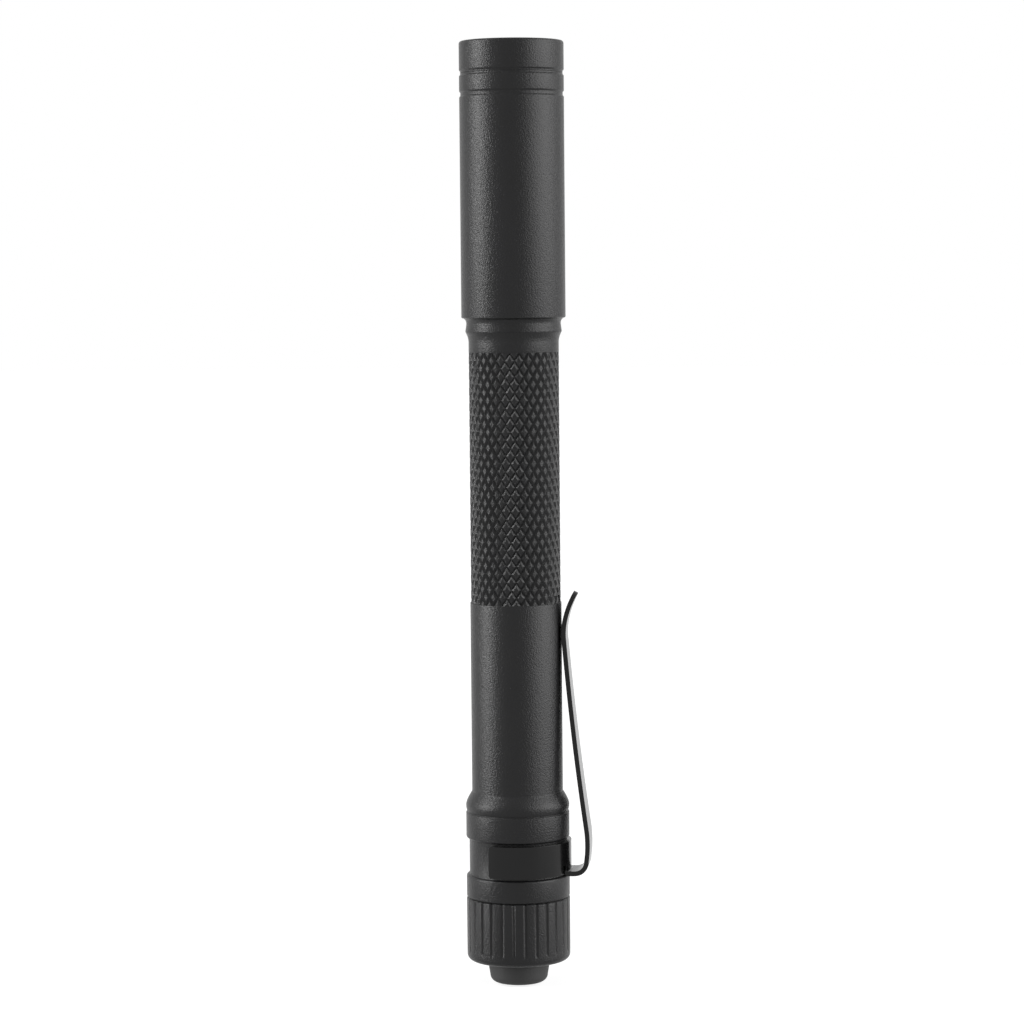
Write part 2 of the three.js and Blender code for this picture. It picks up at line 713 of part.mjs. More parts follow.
// A coil of round wire whose ends run on straight for one wire diameter.
class CoilCurve extends THREE.Curve {
  constructor(startR, endR, zLow, zHigh, turns) {
    super();
    Object.assign(this, { startR, endR, zLow, zHigh, turns });
  }

  getPoint(t, target = new THREE.Vector3()) {
    const radius = THREE.MathUtils.lerp(this.startR, this.endR, t);
    const angle = t * this.turns * 2 * Math.PI;
    const z = THREE.MathUtils.lerp(this.zLow, this.zHigh, t);
    return target.set(radius * Math.cos(angle), radius * Math.sin(angle), z);
  }
}

function coilSpring(label, baseD, tipD, wire, turns, zLow, zHigh) {
  const inset = wire / 2 + SEAT_GAP;
  const coil = new CoilCurve(baseD / 2, tipD / 2, zLow + inset, zHigh - inset, turns);
  const flat = (vector) => vector.setZ(0).normalize().multiplyScalar(wire);
  const first = coil.getPoint(0);
  const last = coil.getPoint(1);
  const path = new THREE.CurvePath();
  path.add(new THREE.LineCurve3(first.clone().sub(flat(coil.getTangent(0))), first));
  path.add(coil);
  path.add(new THREE.LineCurve3(last, last.clone().add(flat(coil.getTangent(1)))));
  const steps = Math.round(turns * STEPS_PER_TURN) + 2;
  const samples = path.getSpacedPoints(steps * SPRING_SIDES);
  const half = Math.floor((samples.length - 1) / turns / 2);
  let least = Infinity;
  samples.forEach((a, i) => samples.slice(i + half).forEach((b) => {
    least = Math.min(least, a.distanceTo(b) - wire);
  }));
  console.log(`${label}: least gap between turns ${least.toFixed(2)} mm`);
  return tube(path, wire, steps, SPRING_SIDES);
}

// The strip's centre line, seen from the side: pad, foot, heel, bulge, arm, touch and tip.
function clipCentreLine(padX, zBandLow, zBandHigh) {
  const zFoot = zBandLow;
  const heelX = padX + CLIP_REACH;
  const zHeel = zFoot + CLIP_HEEL_BEND;
  const zBulge = zHeel + CLIP_BULGE_RISE;
  const bulge = point(heelX + 2 * CLIP_BULGE, zBulge);
  const touchX = barrelR + CLIP_TOUCH_GAP + CLIP_SHEET / 2;
  const touch = point(touchX, zKnurlLow - CLIP_TOUCH_BELOW_KNURL);
  const armSlope = (touch.x - bulge.x) / (touch.y - bulge.y);
  const bulgeEnd = point(bulge.x + armSlope * CLIP_BULGE_ROUND, zBulge + CLIP_BULGE_ROUND);
  const touchStart = point(touchX - armSlope * CLIP_TOUCH_ROUND / 2, touch.y - CLIP_TOUCH_ROUND);
  const touchEnd = point(touchX - armSlope * CLIP_TOUCH_ROUND, touch.y + CLIP_TOUCH_ROUND);
  // A bend's middle lies half way from the middle of its ends to its control point.
  const touchControl = point(2 * touchX - (touchStart.x + touchEnd.x) / 2, touch.y);
  const armMiddle = bulgeEnd.clone().add(touchStart).multiplyScalar(1 / 2);
  armMiddle.x -= 2 * CLIP_ARM_SAG;
  const tip = point(touchX + CLIP_TIP_FLARE, touch.y + CLIP_TIP_RISE);
  const tipControl = point(touchX + CLIP_TIP_CURL, (touchEnd.y + tip.y) / 2);
  return [
    point(padX, zBandHigh),
    ...arc(padX + CLIP_FOOT_BEND, zFoot + CLIP_FOOT_BEND, CLIP_FOOT_BEND, 180, 270),
    ...arc(heelX - CLIP_HEEL_BEND, zHeel, CLIP_HEEL_BEND, -90, 0, BEND_STEPS),
    ...bend(point(heelX + CLIP_BULGE, zBulge - CLIP_BULGE_ROUND), bulge, bulgeEnd, ARC_STEPS),
    ...bend(bulgeEnd, armMiddle, touchStart).slice(1),
    ...bend(touchStart, touchControl, touchEnd, ARC_STEPS).slice(1),
    ...bend(touchEnd, tipControl, tip, ARC_STEPS).slice(1),
  ];
}

// Both faces of the sheet, half its thickness to each side of the centre line.
function sheetOutline(line) {
  const offset = (side) => line.map((here, i) => {
    const along = line[Math.min(i + 1, line.length - 1)].clone().sub(line[Math.max(i - 1, 0)]).normalize();
    return point(here.x - side * along.y * CLIP_SHEET / 2, here.y + side * along.x * CLIP_SHEET / 2);
  });
  return [...offset(-1), ...offset(1).reverse()];
}

// Points of the pad's curve, level with the strip's own rows of points, from one side to the other.
function padCurve(radius) {
  const sides = Array.from({ length: PAD_STEPS + 1 }, (_, step) => CLIP_WIDTH * (step / PAD_STEPS - 1 / 2));
  return sides.map((y) => point(Math.sqrt(radius ** 2 - y ** 2), y));
}

// One wing's edge, from the pad to the wing's end. Its corners are the barrel's, so both lie on the same
// flats.
function wingCurve(radius) {
  const corner = 360 / SIDES;
  const start = THREE.MathUtils.radToDeg(Math.asin(CLIP_WIDTH / 2 / radius));
  const turns = [start];
  const first = Math.floor(start / corner) + 1;
  for (let turn = first * corner; turn < CLIP_WRAP; turn += corner) turns.push(turn);
  const place = (turn) => point(radius * Math.cos(degrees(turn)), radius * Math.sin(degrees(turn)));
  return [...turns, CLIP_WRAP].map(place);
}

function clipBandOutline(innerR) {
  const outerR = innerR + CLIP_SHEET;
  const mirrored = (points) => points.map((place) => point(place.x, -place.y));
  const outerWing = wingCurve(outerR).slice(1);
  const innerWing = wingCurve(innerR).slice(1);
  return [
    ...padCurve(outerR),
    ...outerWing,
    ...[...innerWing].reverse(),
    ...padCurve(innerR).reverse(),
    ...mirrored(innerWing),
    ...mirrored(outerWing).reverse(),
  ];
}

// Bows the strip's pad round the seat; the foot goes flat as it leaves the pad.
function bowPad(strip, outerR, zTop) {
  const places = strip.getAttribute('position');
  for (let i = 0; i < places.count; i += 1) {
    const [x, y] = [places.getX(i), places.getY(i)];
    const bowed = places.getZ(i) > zTop ? 0 : THREE.MathUtils.clamp(1 - (x - outerR) / CLIP_FLATTENING, 0, 1);
    places.setX(i, x - bowed * (x - Math.sqrt(x ** 2 - y ** 2)));
  }
}

function pocketClip() {
  const innerR = seatR + CLIP_GRIP_GAP;
  const zBandLow = (zSeatLow + zSeatHigh - CLIP_BAND_HEIGHT) / 2;
  const zBandHigh = zBandLow + CLIP_BAND_HEIGHT;
  const line = clipCentreLine(innerR + CLIP_SHEET / 2, zBandLow, zBandHigh);
  const halfWidth = CLIP_WIDTH / 2;
  const stripShape = new THREE.Shape(sheetOutline(line));
  const options = { depth: CLIP_WIDTH, steps: PAD_STEPS, bevelEnabled: false };
  const strip = new THREE.ExtrudeGeometry(stripShape, options);
  strip.rotateX(Math.PI / 2).translate(0, halfWidth, 0);
  bowPad(strip, innerR + CLIP_SHEET, zBandHigh);
  const tip = line[line.length - 1];
  const tipR = CLIP_TIP_WIDTH / 2;
  const zTipRound = tip.y + CLIP_SHEET / 2 - tipR;
  const taper = new THREE.Shape([
    point(-halfWidth, zBandLow - 2 * CLIP_SHEET),
    point(halfWidth, zBandLow - 2 * CLIP_SHEET),
    point(halfWidth, zBandHigh),
    ...arc(0, zTipRound, tipR, 0, 180, 2 * BEND_STEPS),
    point(-halfWidth, zBandHigh),
  ]);
  const taperBlock = new THREE.ExtrudeGeometry(taper, { depth: 2 * tip.x, bevelEnabled: false });
  taperBlock.rotateX(Math.PI / 2).rotateZ(Math.PI / 2);
  const notches = [-1, 1].map((side) => block(
    innerR,
    CLIP_NOTCH_WIDTH,
    innerR,
    side * (halfWidth + CLIP_NOTCH_WIDTH / 2),
    zBandLow - CLIP_SHEET,
    zBandLow + CLIP_NOTCH_HEIGHT,
  ));
  const band = cut(raised(clipBandOutline(innerR), zBandLow, zBandHigh), ...notches);
  return join(band, common(strip, taperBlock));
}

function finish(color, roughness, metalness) {
  return new THREE.MeshStandardMaterial({ color, roughness, metalness });
}

const anodised = finish(0x2b2b2d, 0.55, 0.6);
const springSteel = finish(0x232325, 0.35, 0.7);
const rubber = finish(0x29292a, 0.85, 0);
const nitrile = finish(0x1b1b1b, 0.7, 0);
const brass = finish(0xc2a15a, 0.35, 1);
const bareAluminium = finish(0xb9bbbe, 0.4, 1);
const plating = finish(0xc9ccd1, 0.3, 1);
const circuitBoard = finish(0x1f5a34, 0.6, 0);
const whitePlastic = finish(0xe8e8e4, 0.55, 0);
const blackPlastic = finish(0x222222, 0.6, 0);
const redSleeve = finish(0xa02020, 0.6, 0);
const cellWrap = finish(0x3c5a78, 0.45, 0.2);
const mirrorCoat = finish(0xe6e7ea, 0.08, 1);
const clearWindow = new THREE.MeshStandardMaterial({
  color: 0xf4f8fa, roughness: 0.05, metalness: 0, transparent: true, opacity: 0.35,
});
const silicone = finish(0xf2df8c, 0.2, 0);

function add(group, name, geometry, material) {
  const mesh = new THREE.Mesh(geometry, material);
  mesh.name = name;
  group.add(mesh);
  return mesh;
}

const flashlight = new THREE.Group();
const body = new THREE.Group();
const head = new THREE.Group();
const tail = new THREE.Group();
flashlight.add(body, head, tail);

add(body, 'barrel', barrel(), anodised);
add(body, 'battery_rear', cell(), cellWrap).position.z = zCellRear;
add(body, 'battery_front', cell(), cellWrap).position.z = zCellMiddle;
add(body, 'pocket_clip', pocketClip(), springSteel);

const sealOuterR = frontSpigotR;
const zDriverTop = zDriver + BOARD_THICKNESS;
const chipX = DRIVER_PART_SPACING / 2 + CHIP_LENGTH / 2;
const inductorX = -(DRIVER_PART_SPACING / 2 + INDUCTOR_SIZE / 2);
add(head, 'head_shell', headShell(), anodised);
add(head, 'head_o_ring', seal(sealOuterR - HEAD_SEAL_WIDTH, sealOuterR, zBarrelEnd, zLedge), nitrile);
add(head, 'front_contact', disc(CONTACT_D / 2, zCellFront, zDriver), brass);
add(head, 'driver_board', disc(sinkPocketR - FIT, zDriver, zDriverTop, SIDES), circuitBoard);
add(head, 'driver_inductor',
  block(INDUCTOR_SIZE, INDUCTOR_SIZE, inductorX, 0, zDriverTop, zDriverTop + INDUCTOR_HEIGHT), blackPlastic);
add(head, 'driver_chip',
  block(CHIP_LENGTH, CHIP_WIDTH, chipX, 0, zDriverTop, zDriverTop + CHIP_HEIGHT), blackPlastic);
add(head, 'heat_sink', heatSink(), bareAluminium);
add(head, 'led_wire_positive', ledWire(wireSpots[0]), redSleeve);
add(head, 'led_wire_negative', ledWire(wireSpots[1]), blackPlastic);
add(head, 'led_board', disc(LED_BOARD_D / 2, zSinkFront, zLed), whitePlastic);
add(head, 'led_package', block(LED_SIZE, LED_SIZE, 0, 0, zLed, zLed + LED_HEIGHT), whitePlastic);
add(head, 'led_dome', ledDome(), silicone);
add(head, 'led_gasket', ledGasket(), whitePlastic);
add(head, 'reflector', reflector(), mirrorCoat);
add(head, 'lens_window', lensWindow(), clearWindow);
add(head, 'lens_o_ring', seal(lensR - LENS_SEAL_WIDTH, lensR, zLensSeal, zLip), nitrile);
add(head, 'bezel_ring', bezelRing(), anodised);

const boardR = pocketR - FIT;
const bridgeR = chamberR - LOOSE_FIT;
add(tail, 'tail_cap', tailCap(), anodised);
add(tail, 'tail_o_ring', tailSeal(), nitrile);
add(tail, 'switch_boot', switchBoot(), rubber);
add(tail, 'switch_housing', switchHousing(), blackPlastic);
add(tail, 'switch_plunger', switchPlunger(), whitePlastic);
add(tail, 'switch_rotor', switchRotor(), whitePlastic);
add(tail, 'contact_bridge', disc(bridgeR, zBridge, zReturnSpring), brass);
add(tail, 'switch_return_spring', coilSpring('switch return spring', RETURN_SPRING_D, RETURN_SPRING_D,
  RETURN_SPRING_WIRE, RETURN_SPRING_TURNS, zReturnSpring, zSwitchBase), plating);
add(tail, 'switch_base', switchBase(), blackPlastic);
add(tail, 'center_terminal', centerTerminal(), brass);
add(tail, 'side_terminal', block(SIDE_POST, SIDE_POST, sidePostX, 0, zPostTop, zSwitchBoard), brass);
add(tail, 'switch_board', disc(boardR, zSwitchBoard, zRetainer, SIDES), circuitBoard);
add(tail, 'retaining_ring', retainingRing(), brass);
add(tail, 'battery_spring', coilSpring('battery spring', CELL_SPRING_BASE_D, CELL_SPRING_TIP_D,
  CELL_SPRING_WIRE, CELL_SPRING_TURNS, zRetainer, zCellRear), plating);

export default flashlight;
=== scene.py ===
# Slim two-cell pocket flashlight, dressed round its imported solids. Metres; sizes in the text are millimetres.
import math

import bmesh
import bpy
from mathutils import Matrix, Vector


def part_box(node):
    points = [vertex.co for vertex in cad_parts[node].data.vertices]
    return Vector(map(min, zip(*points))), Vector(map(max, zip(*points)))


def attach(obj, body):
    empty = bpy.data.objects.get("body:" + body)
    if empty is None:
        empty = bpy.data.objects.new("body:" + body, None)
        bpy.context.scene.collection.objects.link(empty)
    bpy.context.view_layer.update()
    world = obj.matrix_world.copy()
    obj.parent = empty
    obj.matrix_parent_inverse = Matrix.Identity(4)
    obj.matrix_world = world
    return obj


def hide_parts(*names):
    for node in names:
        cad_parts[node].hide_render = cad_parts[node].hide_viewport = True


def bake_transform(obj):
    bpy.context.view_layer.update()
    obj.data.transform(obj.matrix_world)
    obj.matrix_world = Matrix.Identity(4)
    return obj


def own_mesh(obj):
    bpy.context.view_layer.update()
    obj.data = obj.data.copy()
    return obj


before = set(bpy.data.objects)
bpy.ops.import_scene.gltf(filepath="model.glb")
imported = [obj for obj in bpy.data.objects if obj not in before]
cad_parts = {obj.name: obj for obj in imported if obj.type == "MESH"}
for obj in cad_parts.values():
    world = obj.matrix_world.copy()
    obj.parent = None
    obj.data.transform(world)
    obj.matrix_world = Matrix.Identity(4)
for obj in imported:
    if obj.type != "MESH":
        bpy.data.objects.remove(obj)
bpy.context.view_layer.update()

# The barrel: a tube turned from aluminium bar, with a rolled diamond knurl on its grip, a collar with the
# clip's seat near the tail and a spigot under the head. It is bead blasted and anodised black all over.
MM = 0.001
WELD = MM / 1000
NEAR = 0.01
CASE_SIDES = 128
EDGE_SEGMENTS, SMOOTH_MARGIN = 3, 5
TURNED_EDGE = 0.05


def corners(node):
    """The lowest and the highest corner of a solid, in mm."""
    low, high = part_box(node)
    return [side / MM for side in low], [side / MM for side in high]


def arc(middle, radius, start, end, steps=6):
    """Points of a round edge, between two angles in degrees."""
    angles = [math.radians(start + (end - start) * step / steps) for step in range(steps + 1)]
    return [(middle[0] + radius * math.cos(a), middle[1] + radius * math.sin(a)) for a in angles]


def sweep(start, corner, end, steps=8):
    """Points of a curve that leaves its start towards the corner and reaches its end from there."""
    points = []
    for step in range(steps + 1):
        t = step / steps
        shares = ((1 - t) ** 2, 2 * t * (1 - t), t ** 2)
        points.append(tuple(sum(s * p[i] for s, p in zip(shares, (start, corner, end))) for i in (0, 1)))
    return points


def draw(points):
    """A line through places in mm, drawn point by point in a new piece that is left in edit mode."""
    bpy.ops.object.select_all(action="DESELECT")
    bpy.ops.mesh.primitive_plane_add(size=MM, location=[c * MM for c in points[0]])
    piece = bpy.context.object
    bpy.ops.object.mode_set(mode="EDIT")
    bpy.ops.mesh.select_mode(type="VERT")
    bpy.ops.mesh.select_all(action="SELECT")
    bpy.ops.mesh.merge(type="CENTER")
    for here, there in zip(points, points[1:]):
        step = [(b - a) * MM for a, b in zip(here, there)]
        bpy.ops.mesh.extrude_vertices_move(TRANSFORM_OT_translate={"value": step})
    return piece


def turn(name, outline, sides=CASE_SIDES):
    """A turned piece: its outline of radius and height is drawn and spun round the axis."""
    piece = draw([(radius, 0, height) for radius, height in outline])
    piece.name = piece.data.name = name
    bpy.ops.mesh.select_all(action="SELECT")
    bpy.ops.mesh.spin(steps=sides, angle=2 * math.pi, center=(0, 0, 0), axis=(0, 0, 1))
    bpy.ops.mesh.select_all(action="SELECT")
    bpy.ops.mesh.remove_doubles(threshold=WELD)
    bpy.ops.mesh.normals_make_consistent(inside=False)
    bpy.ops.object.mode_set(mode="OBJECT")
    bpy.ops.object.transform_apply()
    return piece


def ring(outline):
    """A closed outline, for a piece with a hole through it."""
    return [*outline, outline[0]]


def smooth(piece, angle):
    """Shades a piece smooth, but for edges that turn by more than an angle in degrees."""
    bpy.ops.object.select_all(action="DESELECT")
    piece.select_set(True)
    bpy.ops.object.shade_smooth_by_angle(angle=math.radians(angle))


def break_edges(piece, width, sharp=30):
    """Rounds the sharp edges by a small width and shades the piece smooth between them."""
    bpy.context.view_layer.objects.active = piece
    bevel = piece.modifiers.new("broken edges", "BEVEL")
    bevel.width = width * MM
    bevel.segments = EDGE_SEGMENTS
    bevel.limit_method = "ANGLE"
    bevel.angle_limit = math.radians(sharp)
    bpy.ops.object.modifier_apply(modifier=bevel.name)
    smooth(piece, sharp + SMOOTH_MARGIN)


def pick(piece, kind, wanted):
    """In edit mode, selects the verts, edges or faces whose middle, in mm, is wanted."""
    bpy.ops.mesh.select_mode(type={"verts": "VERT", "edges": "EDGE", "faces": "FACE"}[kind])
    bpy.ops.mesh.select_all(action="DESELECT")
    shape = bmesh.from_edit_mesh(piece.data)
    for part in getattr(shape, kind):
        places = [part.co] if kind == "verts" else [corner.co for corner in part.verts]
        middle = sum(places, Vector()) / len(places)
        if wanted(piece.matrix_world @ middle / MM):
            part.select_set(True)
    shape.select_flush_mode()
    bmesh.update_edit_mesh(piece.data)


def hand_over(piece, node, body, slot, *finishes):
    """Gives a finished piece its finishes, and puts it on its body in the place of its solid."""
    for finish in finishes:
        piece.data.materials.append(finish)
    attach(piece, body)
    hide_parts(node)


def linear(colour):
    """An sRGB hex colour as the linear values that a shader takes."""
    channels = [int(colour[i:i + 2], 16) / 255 for i in (1, 3, 5)]
    return [c / 12.92 if c <= 0.04045 else ((c + 0.055) / 1.055) ** 2.4 for c in channels] + [1]


def add(tree, kind, sockets=None, **settings):
    """Adds a shader node with its settings, and sets or links its sockets."""
    node = tree.nodes.new(kind)
    for name, value in settings.items():
        setattr(node, name, value)
    for name, value in (sockets or {}).items():
        if isinstance(value, bpy.types.NodeSocket):
            tree.links.new(value, node.inputs[name])
        else:
            node.inputs[name].default_value = value
    return node


def new_finish(name, **sockets):
    """A new material with these shader sockets set, and its tree, shader and Object coordinates."""
    finish = bpy.data.materials.new(name)
    finish.use_nodes = True
    tree = finish.node_tree
    shader = tree.nodes["Principled BSDF"]
    for socket, value in sockets.items():
        shader.inputs[socket.replace("_", " ")].default_value = value
    return finish, tree, shader, add(tree, "ShaderNodeTexCoord").outputs["Object"]


# Anodised aluminium, bead blasted: a matte black oxide over a finely pitted surface. The pits scatter the
# highlights into grains; real ones are near 0.05 mm and are drawn at 0.22 mm, so that they show.
BLAST_GRAIN = 0.22
BLAST_DEPTH = 0.07
CLOUD = 6.0
anodised, tree, shader, place = new_finish(
    "anodised aluminium, bead blasted black", Specular_IOR_Level=0.2)
grain = add(tree, "ShaderNodeTexNoise", {
    "Vector": place, "Scale": 1 / (BLAST_GRAIN * MM), "Detail": 2.0, "Roughness": 0.6})
cloud = add(tree, "ShaderNodeTexNoise", {"Vector": place, "Scale": 1 / (CLOUD * MM), "Detail": 2.0})
tone = add(tree, "ShaderNodeMixRGB", {
    "Fac": cloud.outputs["Fac"], "Color1": linear("#141414"), "Color2": linear("#1a1a1b")})
sheen = add(tree, "ShaderNodeMapRange", {"Value": grain.outputs["Fac"], "To Min": 0.30, "To Max": 0.38})
pits = add(tree, "ShaderNodeBump", {
    "Height": grain.outputs["Fac"], "Strength": 1.0, "Distance": BLAST_DEPTH * MM})
tree.links.new(tone.outputs["Color"], shader.inputs["Base Color"])
tree.links.new(sheen.outputs["Result"], shader.inputs["Roughness"])
tree.links.new(pits.outputs["Normal"], shader.inputs["Normal"])

low, high = corners("barrel")
SEAM, SPIGOT_END, COLLAR_R = low[2], high[2], high[0]
SEAM_CHAMFER = 0.2
SEAT_LOW, SEAT_HIGH, SEAT_DEPTH = SEAM + 3.4, SEAM + 8.75, 0.45
RING_FILLET = 0.35
GROOVE = SEAM + 12.68
GROOVE_HALF, GROOVE_DEPTH = 0.15, 0.2
BEAD_DROP, BEAD_CORNER, BEAD_TOP = 0.12, GROOVE + 0.5, GROOVE + 0.95
SHOULDER_CORNER, SHOULDER_TOP = BEAD_TOP + 0.6, GROOVE + 2.95
BARREL_R, NECK_R, RIDGE_R = 6.67, 6.56, 7.015
KNURL_LOW, KNURL_HIGH = SPIGOT_END - 48.0, SPIGOT_END - 11.5
KNURL_CREST_R, KNURL_ROOT_R = 6.55, 6.33
KNURL_BED_R = KNURL_ROOT_R - 0.06
NECK, RIDGE = SPIGOT_END - 10.1, SPIGOT_END - 8.5
FRONT_SPIGOT_R, BORE_R, TAIL_BORE_R = 6.1, 5.5, 6.25
CELL_STOP = SEAM + 6.4
seat_r = COLLAR_R - SEAT_DEPTH
fillet_r = COLLAR_R - RING_FILLET
barrel = turn("barrel", ring([
    (TAIL_BORE_R, SEAM),
    (COLLAR_R - SEAM_CHAMFER, SEAM),
    (COLLAR_R, SEAM + SEAM_CHAMFER),
    *arc((fillet_r, SEAT_LOW - RING_FILLET), RING_FILLET, 0, 90),
    (seat_r, SEAT_LOW),
    (seat_r, SEAT_HIGH),
    *arc((fillet_r, SEAT_HIGH + RING_FILLET), RING_FILLET, -90, 0),
    (COLLAR_R, GROOVE - GROOVE_HALF),
    (COLLAR_R - GROOVE_DEPTH, GROOVE),
    *sweep((COLLAR_R - BEAD_DROP, GROOVE + GROOVE_HALF), (COLLAR_R, BEAD_CORNER), (COLLAR_R, BEAD_TOP)),
    *sweep((COLLAR_R, BEAD_TOP), (COLLAR_R, SHOULDER_CORNER), (BARREL_R, SHOULDER_TOP))[1:],
    (BARREL_R, KNURL_LOW),
    (KNURL_BED_R, KNURL_LOW),
    (KNURL_BED_R, KNURL_HIGH),
    (NECK_R, KNURL_HIGH),
    *sweep((NECK_R, NECK), (NECK_R, (NECK + RIDGE) / 2), (RIDGE_R, RIDGE)),
    (FRONT_SPIGOT_R, RIDGE),
    (FRONT_SPIGOT_R, SPIGOT_END),
    (BORE_R, SPIGOT_END),
    (BORE_R, CELL_STOP),
    (TAIL_BORE_R, CELL_STOP),
]))
break_edges(barrel, TURNED_EDGE)

# The knurl: one flat-topped diamond is raised from its rolled grooves, repeated up the grip, paired with a
# second column half a step round, spun round the barrel and trimmed at both ends.
KNURL_STARTS = 30
KNURL_ROWS = 16
GROOVE_FLANK = 0.3
CREST_EDGE = 0.04
KNURL_TUCK = 0.05
diamond_height = (KNURL_HIGH - KNURL_LOW) / KNURL_ROWS
half_step = math.pi / KNURL_STARTS
half_width = KNURL_ROOT_R * math.sin(half_step)
inward = (KNURL_BED_R - KNURL_TUCK) / KNURL_CREST_R
here = (KNURL_ROOT_R * MM, 0, KNURL_LOW * MM)
bpy.ops.object.select_all(action="DESELECT")
bpy.ops.mesh.primitive_circle_add(
    vertices=4, radius=MM, fill_type="NGON", rotation=(0, math.pi / 2, 0), location=here)
knurl = bpy.context.object
knurl.name = "knurl"
bpy.ops.object.mode_set(mode="EDIT")
bpy.ops.mesh.select_all(action="SELECT")
bpy.ops.transform.resize(value=(1, half_width, diamond_height / 2), center_override=here)
bpy.ops.mesh.inset(thickness=GROOVE_FLANK * MM, depth=0)
bpy.ops.transform.translate(value=((KNURL_CREST_R - KNURL_ROOT_R) * MM, 0, 0))
bpy.ops.mesh.bevel(offset=CREST_EDGE * MM, segments=1, affect="EDGES")
pick(knurl, "verts", lambda at: abs(at.y) > half_width - NEAR)
bpy.ops.transform.translate(value=((math.cos(half_step) - 1) * KNURL_ROOT_R * MM, 0, 0))
bpy.ops.object.mode_set(mode="OBJECT")
bpy.ops.object.transform_apply()
column = knurl.modifiers.new("column", "ARRAY")
column.use_relative_offset = False
column.use_constant_offset = True
column.constant_offset_displace = (0, 0, diamond_height * MM)
column.count = KNURL_ROWS + 1
bpy.ops.object.modifier_apply(modifier=column.name)
bpy.ops.object.mode_set(mode="EDIT")
bpy.ops.mesh.select_all(action="SELECT")
bpy.ops.mesh.duplicate()
bpy.ops.transform.rotate(value=half_step, orient_axis="Z", center_override=(0, 0, 0))
bpy.ops.transform.translate(value=(0, 0, -diamond_height / 2 * MM))
bpy.ops.mesh.select_all(action="SELECT")
bpy.ops.mesh.spin(steps=KNURL_STARTS, angle=2 * math.pi, dupli=True, center=(0, 0, 0), axis=(0, 0, 1))
bpy.ops.mesh.select_all(action="SELECT")
bpy.ops.mesh.remove_doubles(threshold=WELD)
for height, side in ((KNURL_LOW, -1), (KNURL_HIGH, 1)):
    bpy.ops.mesh.select_all(action="SELECT")
    bpy.ops.mesh.bisect(plane_co=(0, 0, height * MM), plane_no=(0, 0, side), clear_outer=True)
    bpy.ops.mesh.extrude_edges_move()
    bpy.ops.transform.resize(value=(inward, inward, 1), center_override=(0, 0, height * MM))
bpy.ops.mesh.select_all(action="SELECT")
bpy.ops.mesh.normals_make_consistent(inside=False)
bpy.ops.object.mode_set(mode="OBJECT")
bpy.ops.object.select_all(action="DESELECT")
knurl.select_set(True)
barrel.select_set(True)
bpy.context.view_layer.objects.active = barrel
bpy.ops.object.join()
hand_over(barrel, "barrel", "light_body", "anodised_black", anodised)

# The cells: two AAA cells in line, each a drawn steel can with a crimped rim, a nub at the front and a plain
# printed film shrunk round it. One is turned, and the other is its copy, one cell's length further on.
low, high = corners("battery_rear")
CELL_LOW, CELL_TOP, CELL_R = low[2], high[2] - 1.0, high[0]
NUB_R, NUB_TOP = 1.9, high[2]
FILM, FILM_EDGE, BAND_SHARE = 0.06, 0.35, 0.72
END_DISH, END_FLAT_R, END_BEND_R, END_RIM_R = 0.12, 2.6, 2.9, 3.2
CRIMP_R, CRIMP_SEAL_R, CRIMP_OUTER_R = 3.9, 4.15, 4.6
CAN_ROUND, TOP_ROUND, TOP_RIM_R, TOP_DISH = 0.1, 0.6, 4.1, 0.25
NUB_FOOT, NUB_RISE, NUB_EDGE = 0.5, 0.2, 0.25
CELL_SMOOTH, SMALL_SIDES = 35, 64
dish_low, dish_top = CELL_LOW + END_DISH, CELL_TOP - TOP_DISH
film_low, film_top, can_r = CELL_LOW + FILM_EDGE, CELL_TOP - FILM_EDGE, CELL_R - FILM
band_low = CELL_LOW + BAND_SHARE * (CELL_TOP - CELL_LOW)
rear_cell = turn("battery_rear", [
    (0, dish_low),
    *sweep((END_FLAT_R, dish_low), (END_BEND_R, CELL_LOW), (END_RIM_R, CELL_LOW), steps=4),
    (CRIMP_R, CELL_LOW),
    (CRIMP_SEAL_R, dish_low),
    *sweep((CRIMP_OUTER_R, dish_low), (CELL_R - CAN_ROUND, CELL_LOW + CAN_ROUND), (can_r, film_low)),
    (CELL_R, film_low),
    (CELL_R, band_low),
    (CELL_R, film_top),
    *sweep((can_r, film_top), (CELL_R - CAN_ROUND, CELL_TOP), (CELL_R - TOP_ROUND, CELL_TOP)),
    (TOP_RIM_R, CELL_TOP),
    (CRIMP_R, dish_top),
    *sweep((NUB_R + NUB_FOOT, dish_top), (NUB_R, dish_top), (NUB_R, CELL_TOP + NUB_RISE), steps=4),
    *arc((NUB_R - NUB_EDGE, NUB_TOP - NUB_EDGE), NUB_EDGE, 0, 90),
    (0, NUB_TOP),
], sides=SMALL_SIDES)
smooth(rear_cell, CELL_SMOOTH)

# Printed film: a slate body and a paler band at the front end, glossy, over slight waves of the shrunk film.
FILM_WAVE, FILM_RIPPLE = 3.0, 0.03
films = []
for name, colour in (("printed film, slate", "#34475a"), ("printed film, pale grey", "#b9bec2")):
    film, tree, shader, place = new_finish(name, Base_Color=linear(colour), Roughness=0.28)
    waves = add(tree, "ShaderNodeTexNoise", {"Vector": place, "Scale": 1 / (FILM_WAVE * MM), "Detail": 1.0})
    ripple = add(tree, "ShaderNodeBump", {
        "Height": waves.outputs["Fac"], "Strength": 0.4, "Distance": FILM_RIPPLE * MM})
    tree.links.new(ripple.outputs["Normal"], shader.inputs["Normal"])
    films.append(film)

